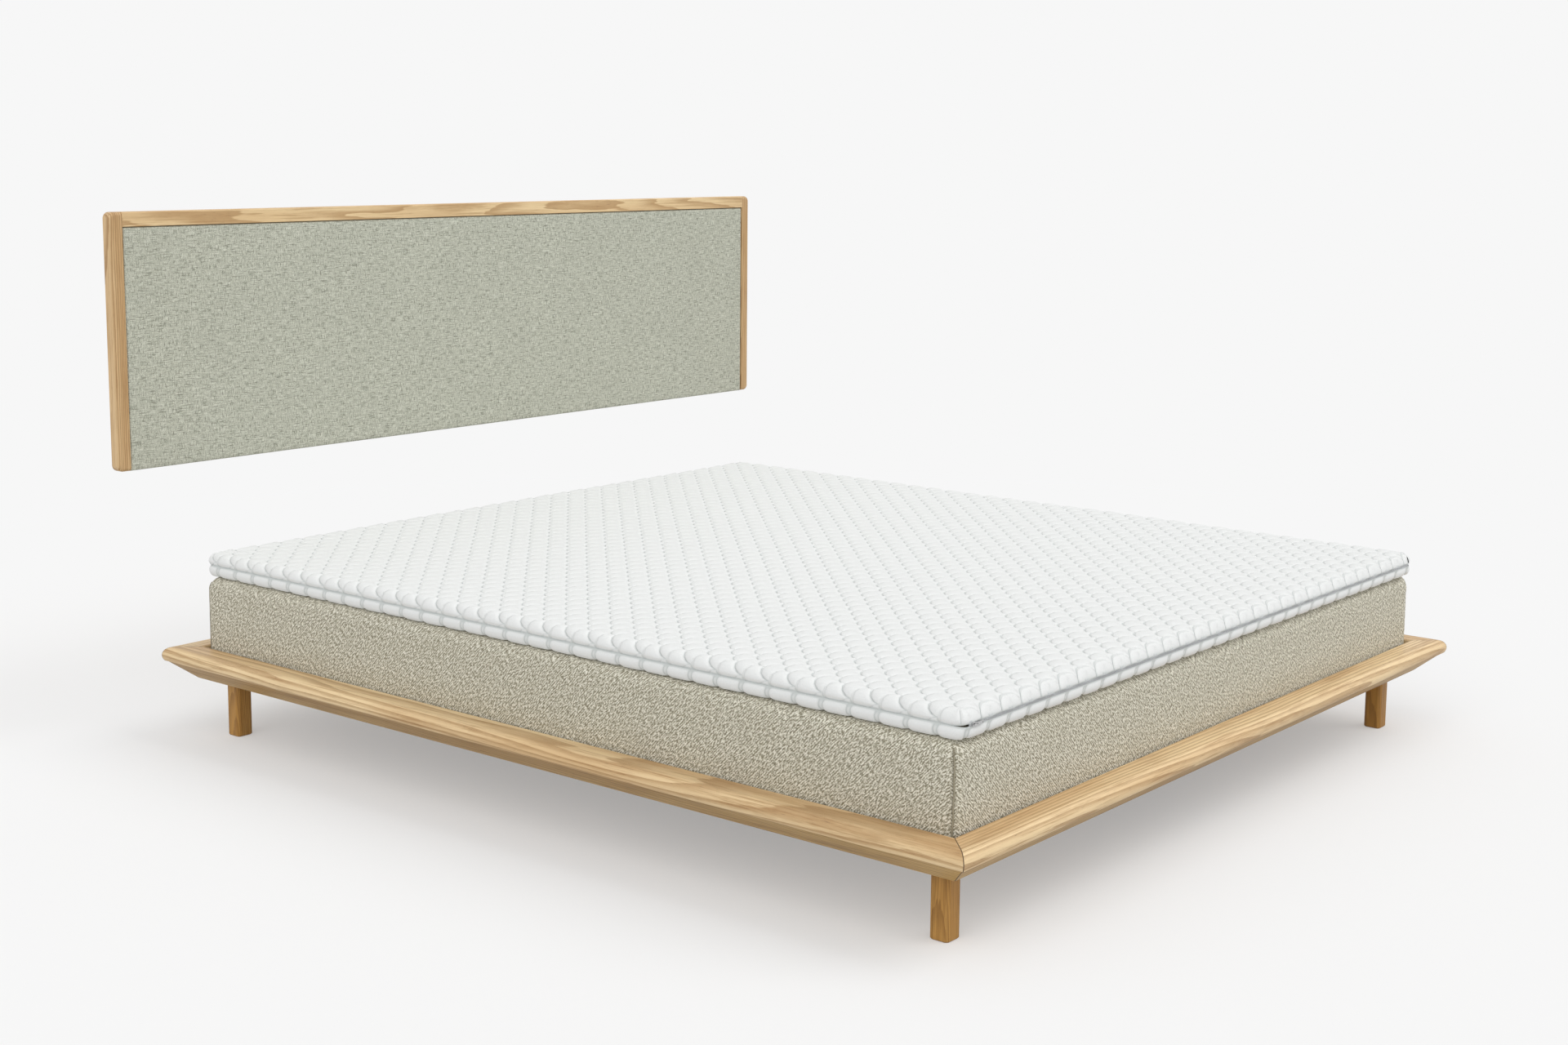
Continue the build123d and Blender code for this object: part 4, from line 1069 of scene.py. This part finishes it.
def form_distance(place, half_x, half_y, low_z, high_z, upright, low_edge, top_edge):
    """How far each point is outside a block with rounded uprights and edges, and the way out of it."""
    flat = np.stack([place[:, 0], place[:, 1] - bed_y], 1)
    over = np.abs(flat) - [half_x - upright, half_y - upright]
    outer = np.maximum(over, 0)
    length = np.linalg.norm(outer, axis=1)
    plan = length + np.minimum(over.max(1), 0) - upright
    nearest = (over == over.max(1)[:, None]).astype(float)
    way = np.where(length[:, None] > 1e-9, outer / np.maximum(length, 1e-9)[:, None], nearest) * np.sign(flat)
    from_middle = place[:, 2] - (low_z + high_z) / 2
    rise = np.abs(from_middle) - (high_z - low_z) / 2
    edge = np.where(from_middle > 0, top_edge, low_edge)
    side_part, top_part = np.maximum(plan + edge, 0), np.maximum(rise + edge, 0)
    both = np.hypot(side_part, top_part)
    distance = both - edge + np.minimum(np.maximum(plan, rise) + edge, 0)
    share = np.maximum(both, 1e-9)
    up = np.sign(from_middle) * top_part / share
    return distance, np.concatenate([way * (side_part / share)[:, None], up[:, None]], 1)


def mattress():
    """The twill cover: swollen by simulation, held close to its stuffing, drawn in at its upright seams."""
    shy = 0.4 * mm
    half_x = (cover_high.x - cover_low.x) / 2 - shy
    half_y = (cover_high.y - cover_low.y) / 2 - shy
    low_z, high_z = cover_low.z + 0.2 * mm, cover_high.z - 0.3 * mm
    upright, low_edge, top_edge = 29 * mm, 21 * mm, 28 * mm
    form = (half_x, half_y, low_z, high_z, upright, low_edge, top_edge)
    points, faces = rounded_block(*form)
    points[:, 1] += bed_y
    piece = new_piece("mattress_twill_cover", points, faces, twill, "mattress")
    settle(piece, cap=2.6 * mm, pressure=4.0)
    smooth = piece.modifiers.new("even", "SUBSURF")
    smooth.levels = smooth.render_levels = 1
    held = piece.evaluated_get(bpy.context.evaluated_depsgraph_get())
    mesh = bpy.data.meshes.new_from_object(held)
    piece.modifiers.remove(smooth)
    piece.data = mesh
    place = np.array([v.co[:] for v in mesh.vertices])
    distance, way = form_distance(place, *form)
    waves = 0.9 * mm + wander(place * np.array([1, 1, 2.2]), 0.22, 0.9 * mm, 4.0)
    wanted = np.clip(distance, -0.4 * mm, 1.4 * mm) + waves
    place += way * (wanted - distance)[:, None]
    place[:, 2] = np.clip(place[:, 2], cover_low.z + 0.1 * mm, cover_high.z + 0.1 * mm)
    place = draw_in_seams(place, half_x, half_y, upright)
    mesh.vertices.foreach_set("co", place.reshape(-1).astype(np.float32))
    mesh.update()
    mesh.shade_smooth()
    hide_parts("mattress_cover")


def draw_in_seams(place, half_x, half_y, upright):
    """Pull the cloth in along each upright corner seam, with small puckers beside it."""
    corner_x = np.abs(place[:, 0]) - (half_x - upright)
    corner_y = np.abs(place[:, 1] - bed_y) - (half_y - upright)
    turn = np.arctan2(np.maximum(corner_y, 0), np.maximum(corner_x, 1e-9))
    on_corner = np.minimum(ease(-0.03, 0.0, corner_x), ease(-0.03, 0.0, corner_y))
    away = np.abs(corner_x - corner_y) / math.sqrt(2)
    seam = np.exp(-(away / (2.2 * mm)) ** 2) * on_corner
    beside = np.exp(-((away - 9 * mm) / (8 * mm)) ** 2) * on_corner
    height = (place[:, 2] - cover_low.z) / (cover_high.z - cover_low.z)
    ripple = np.sin(place[:, 2] * 2 * math.pi / 0.021 + 1.3 * np.sin(place[:, 2] * 90))
    pucker = ripple * (0.35 + 0.65 * ease(0.6, 0.95, height))
    inward = 2.0 * mm * seam - 0.6 * mm * beside * (1 + pucker)
    lean_x = np.sign(place[:, 0]) * np.cos(turn)
    lean_y = np.sign(place[:, 1] - bed_y) * np.sin(turn)
    upright_part = ease(0.02, 0.14, height) * ease(1.0, 0.9, height)
    place[:, 0] -= lean_x * inward * upright_part
    place[:, 1] -= lean_y * inward * upright_part
    return place


mattress()


def foam_core(name, node, body, shy, lift, sink, upright, edge):
    """Foam inside a cover, smaller than its solid, so that it never shows through the cloth."""
    low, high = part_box(node)
    half_x, half_y = (high.x - low.x) / 2 - shy, (high.y - low.y) / 2 - shy
    points, faces = rounded_block(half_x, half_y, low.z + lift, high.z - sink, upright, edge, edge)
    points[:, 1] += (low.y + high.y) / 2
    piece = new_piece(name, points, faces, foam, body)
    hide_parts(node)


foam_core(
    "topper_foam_core", "topper_foam", "topper",
    shy=7 * mm, lift=3 * mm, sink=6 * mm, upright=18 * mm, edge=12 * mm,
)
foam_core(
    "mattress_comfort_layer", "mattress_comfort_foam", "mattress",
    shy=8 * mm, lift=0.0, sink=2.5 * mm, upright=26 * mm, edge=12 * mm,
)


def corner_piping():
    """A thin cord down each corner seam, turned in at both ends, coloured darker than the twill as painted
    shade of the seam.
    """
    radius, around, steps = 1.5 * mm, 8, 60
    low_z, high_z = cover_low.z + 12 * mm, cover_high.z - 12 * mm
    points, faces = [], []
    reach = 30 * mm * (1 - 1 / math.sqrt(2)) - 0.7 * mm
    for side in (-1, 1):
        for end in (-1, 1):
            start = len(points)
            corner = Vector((side * (cover_high.x - reach), bed_y + end * (cover_high.y - bed_y - reach), 0))
            out = Vector((side, end, 0)).normalized()
            across = Vector((-out.y, out.x, 0))
            for k in range(steps + 1):
                z = low_z + (high_z - low_z) * k / steps
                share = k / steps
                to_end = max(0, 0.1 - share, share - 0.9) / 0.1
                tuck = 5.5 * mm * to_end**2
                sway = 0.5 * mm * math.sin(z * 150 + side) + 0.9 * mm * math.sin(z * 31 + end)
                middle = corner + across * sway - out * tuck
                for c in range(around):
                    angle = 2 * math.pi * c / around
                    offset = out * math.cos(angle) * radius + across * math.sin(angle) * radius
                    points.append(middle + offset + Vector((0, 0, z)))
            for k in range(steps):
                for c in range(around):
                    a, b = start + k * around + c, start + k * around + (c + 1) % around
                    faces.append([a, b, b + around, a + around])
            faces.append([start + c for c in range(around)][::-1])
            faces.append([start + steps * around + c for c in range(around)])
    piece = new_piece("mattress_seam_piping", points, faces, shaded_seam_cord, "mattress")
    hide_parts("mattress_corner_piping")


corner_piping()


# Headboard panel

def headboard_panel():
    """The linen panel: a slightly crowned front that turns over its edges and goes back to the board."""
    width = linen_high.x - linen_low.x
    height = linen_high.z - linen_low.z
    front, back = linen_low.y, linen_high.y
    roll = 4.5 * mm
    step = 9 * mm
    count_x, count_z = round((width - 2 * roll) / step), round((height - 2 * roll) / step)
    turn_steps = 5

    def ladder(low, high, count):
        flat = list(np.linspace(low + roll, high - roll, count + 1))
        turns = np.linspace(0, math.pi / 2, turn_steps)
        rim = [(roll * (1 - math.sin(a)), roll * (1 - math.cos(a))) for a in turns]
        first = [(low + out, depth) for out, depth in reversed(rim[1:])]
        last = [(high - out, depth) for out, depth in rim[1:]]
        return [(low, back - front)] + first + [(v, 0.0) for v in flat] + last + [(high, back - front)]

    run_x, run_z = ladder(linen_low.x, linen_high.x, count_x), ladder(linen_low.z, linen_high.z, count_z)
    points = []
    for z, depth_z in run_z:
        for x, depth_x in run_x:
            share_x = (x - linen_low.x) / width * 2 - 1
            share_z = (z - linen_low.z) / height * 2 - 1
            crown = 1.0 * mm * (1 - share_x**8) * (1 - share_z**4)
            drift = 0.35 * mm * noise.noise(Vector((x * 5, z * 7, 0)))
            depth = max(depth_x, depth_z)
            if depth < back - front:
                depth = min(back - front, math.hypot(depth_x, depth_z))
            points.append((x, front + depth - (crown + drift) * (1 if depth == 0 else 0), z))
    columns = len(run_x)
    faces = [
        [r * columns + c, r * columns + c + 1, (r + 1) * columns + c + 1, (r + 1) * columns + c]
        for r in range(len(run_z) - 1)
        for c in range(columns - 1)
    ]
    piece = new_piece("headboard_linen_panel", points, faces, linen, "headboard")
    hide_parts("headboard_linen")


headboard_panel()


# Stage and light

def set_stage():
    """A pale floor that fades into an even pale backdrop, and two broad lights from beyond the foot."""
    pale = 0.93
    size = 40.0
    mesh = bpy.data.meshes.new("floor")
    corners = [(-size, -size, 0), (size, -size, 0), (size, size, 0), (-size, size, 0)]
    mesh.from_pydata(corners, [], [(0, 1, 2, 3)])
    floor = bpy.data.objects.new("floor", mesh)
    bpy.context.scene.collection.objects.link(floor)
    material = bpy.data.materials.new("pale_floor")
    material.use_nodes = True
    tree = material.node_tree
    shader = tree.nodes["Principled BSDF"]
    seen_straight = put(tree, "LightPath").outputs["Is Camera Ray"]
    floor_colour = blend_colours(tree, seen_straight, (0.68, 0.68, 0.68, 1), (0.90, 0.90, 0.90, 1))
    tree.links.new(floor_colour, shader.inputs["Base Color"])
    shader.inputs["Roughness"].default_value = 1.0
    shader.inputs["Specular IOR Level"].default_value = 0.0
    glow = put(tree, "Emission", {"Color": (1, 1, 1, 1), "Strength": pale})
    place = put(tree, "TexCoord").outputs["Object"]
    away = put(tree, "VectorMath", {0: place}, operation="LENGTH").outputs["Value"]
    fade_start, fade_end = 1.2, 3.6
    fade = remap(tree, away, fade_start, fade_end, 0.35, 1.0)
    rays = put(tree, "LightPath").outputs
    seen = sums(tree, "MAXIMUM", rays["Is Camera Ray"], rays["Is Glossy Ray"])
    share = sums(tree, "MULTIPLY", fade, seen)
    mix = put(tree, "MixShader", {0: share, 1: shader.outputs[0], 2: glow.outputs[0]})
    tree.links.new(mix.outputs[0], tree.nodes["Material Output"].inputs["Surface"])
    mesh.materials.append(material)

    world = bpy.data.worlds.new("studio")
    bpy.context.scene.world = world
    world.use_nodes = True
    sky = world.node_tree
    ground = sky.nodes["Background"]
    rays = put(sky, "LightPath").outputs
    seen = sums(sky, "MAXIMUM", rays["Is Camera Ray"], rays["Is Glossy Ray"])
    seen = sums(sky, "MAXIMUM", seen, rays["Is Transmission Ray"])
    strength = remap(sky, seen, 0.0, 1.0, 0.62, pale, smooth=False)
    ground.inputs["Color"].default_value = (1, 1, 1, 1)
    sky.links.new(strength, ground.inputs["Strength"])

    for name, energy, spread, towards in (
        ("key", 0.94, 38, (-0.55, 0.62, -0.95)),
        ("fill", 0.94, 60, (0.78, 0.3, -0.75)),
    ):
        light = bpy.data.lights.new(name, "SUN")
        light.energy = energy
        light.angle = math.radians(spread)
        lamp = bpy.data.objects.new(name, light)
        bpy.context.scene.collection.objects.link(lamp)
        lamp.rotation_euler = Vector(towards).to_track_quat("-Z", "Y").to_euler()
    bpy.context.scene.view_settings.view_transform = "Standard"


set_stage()
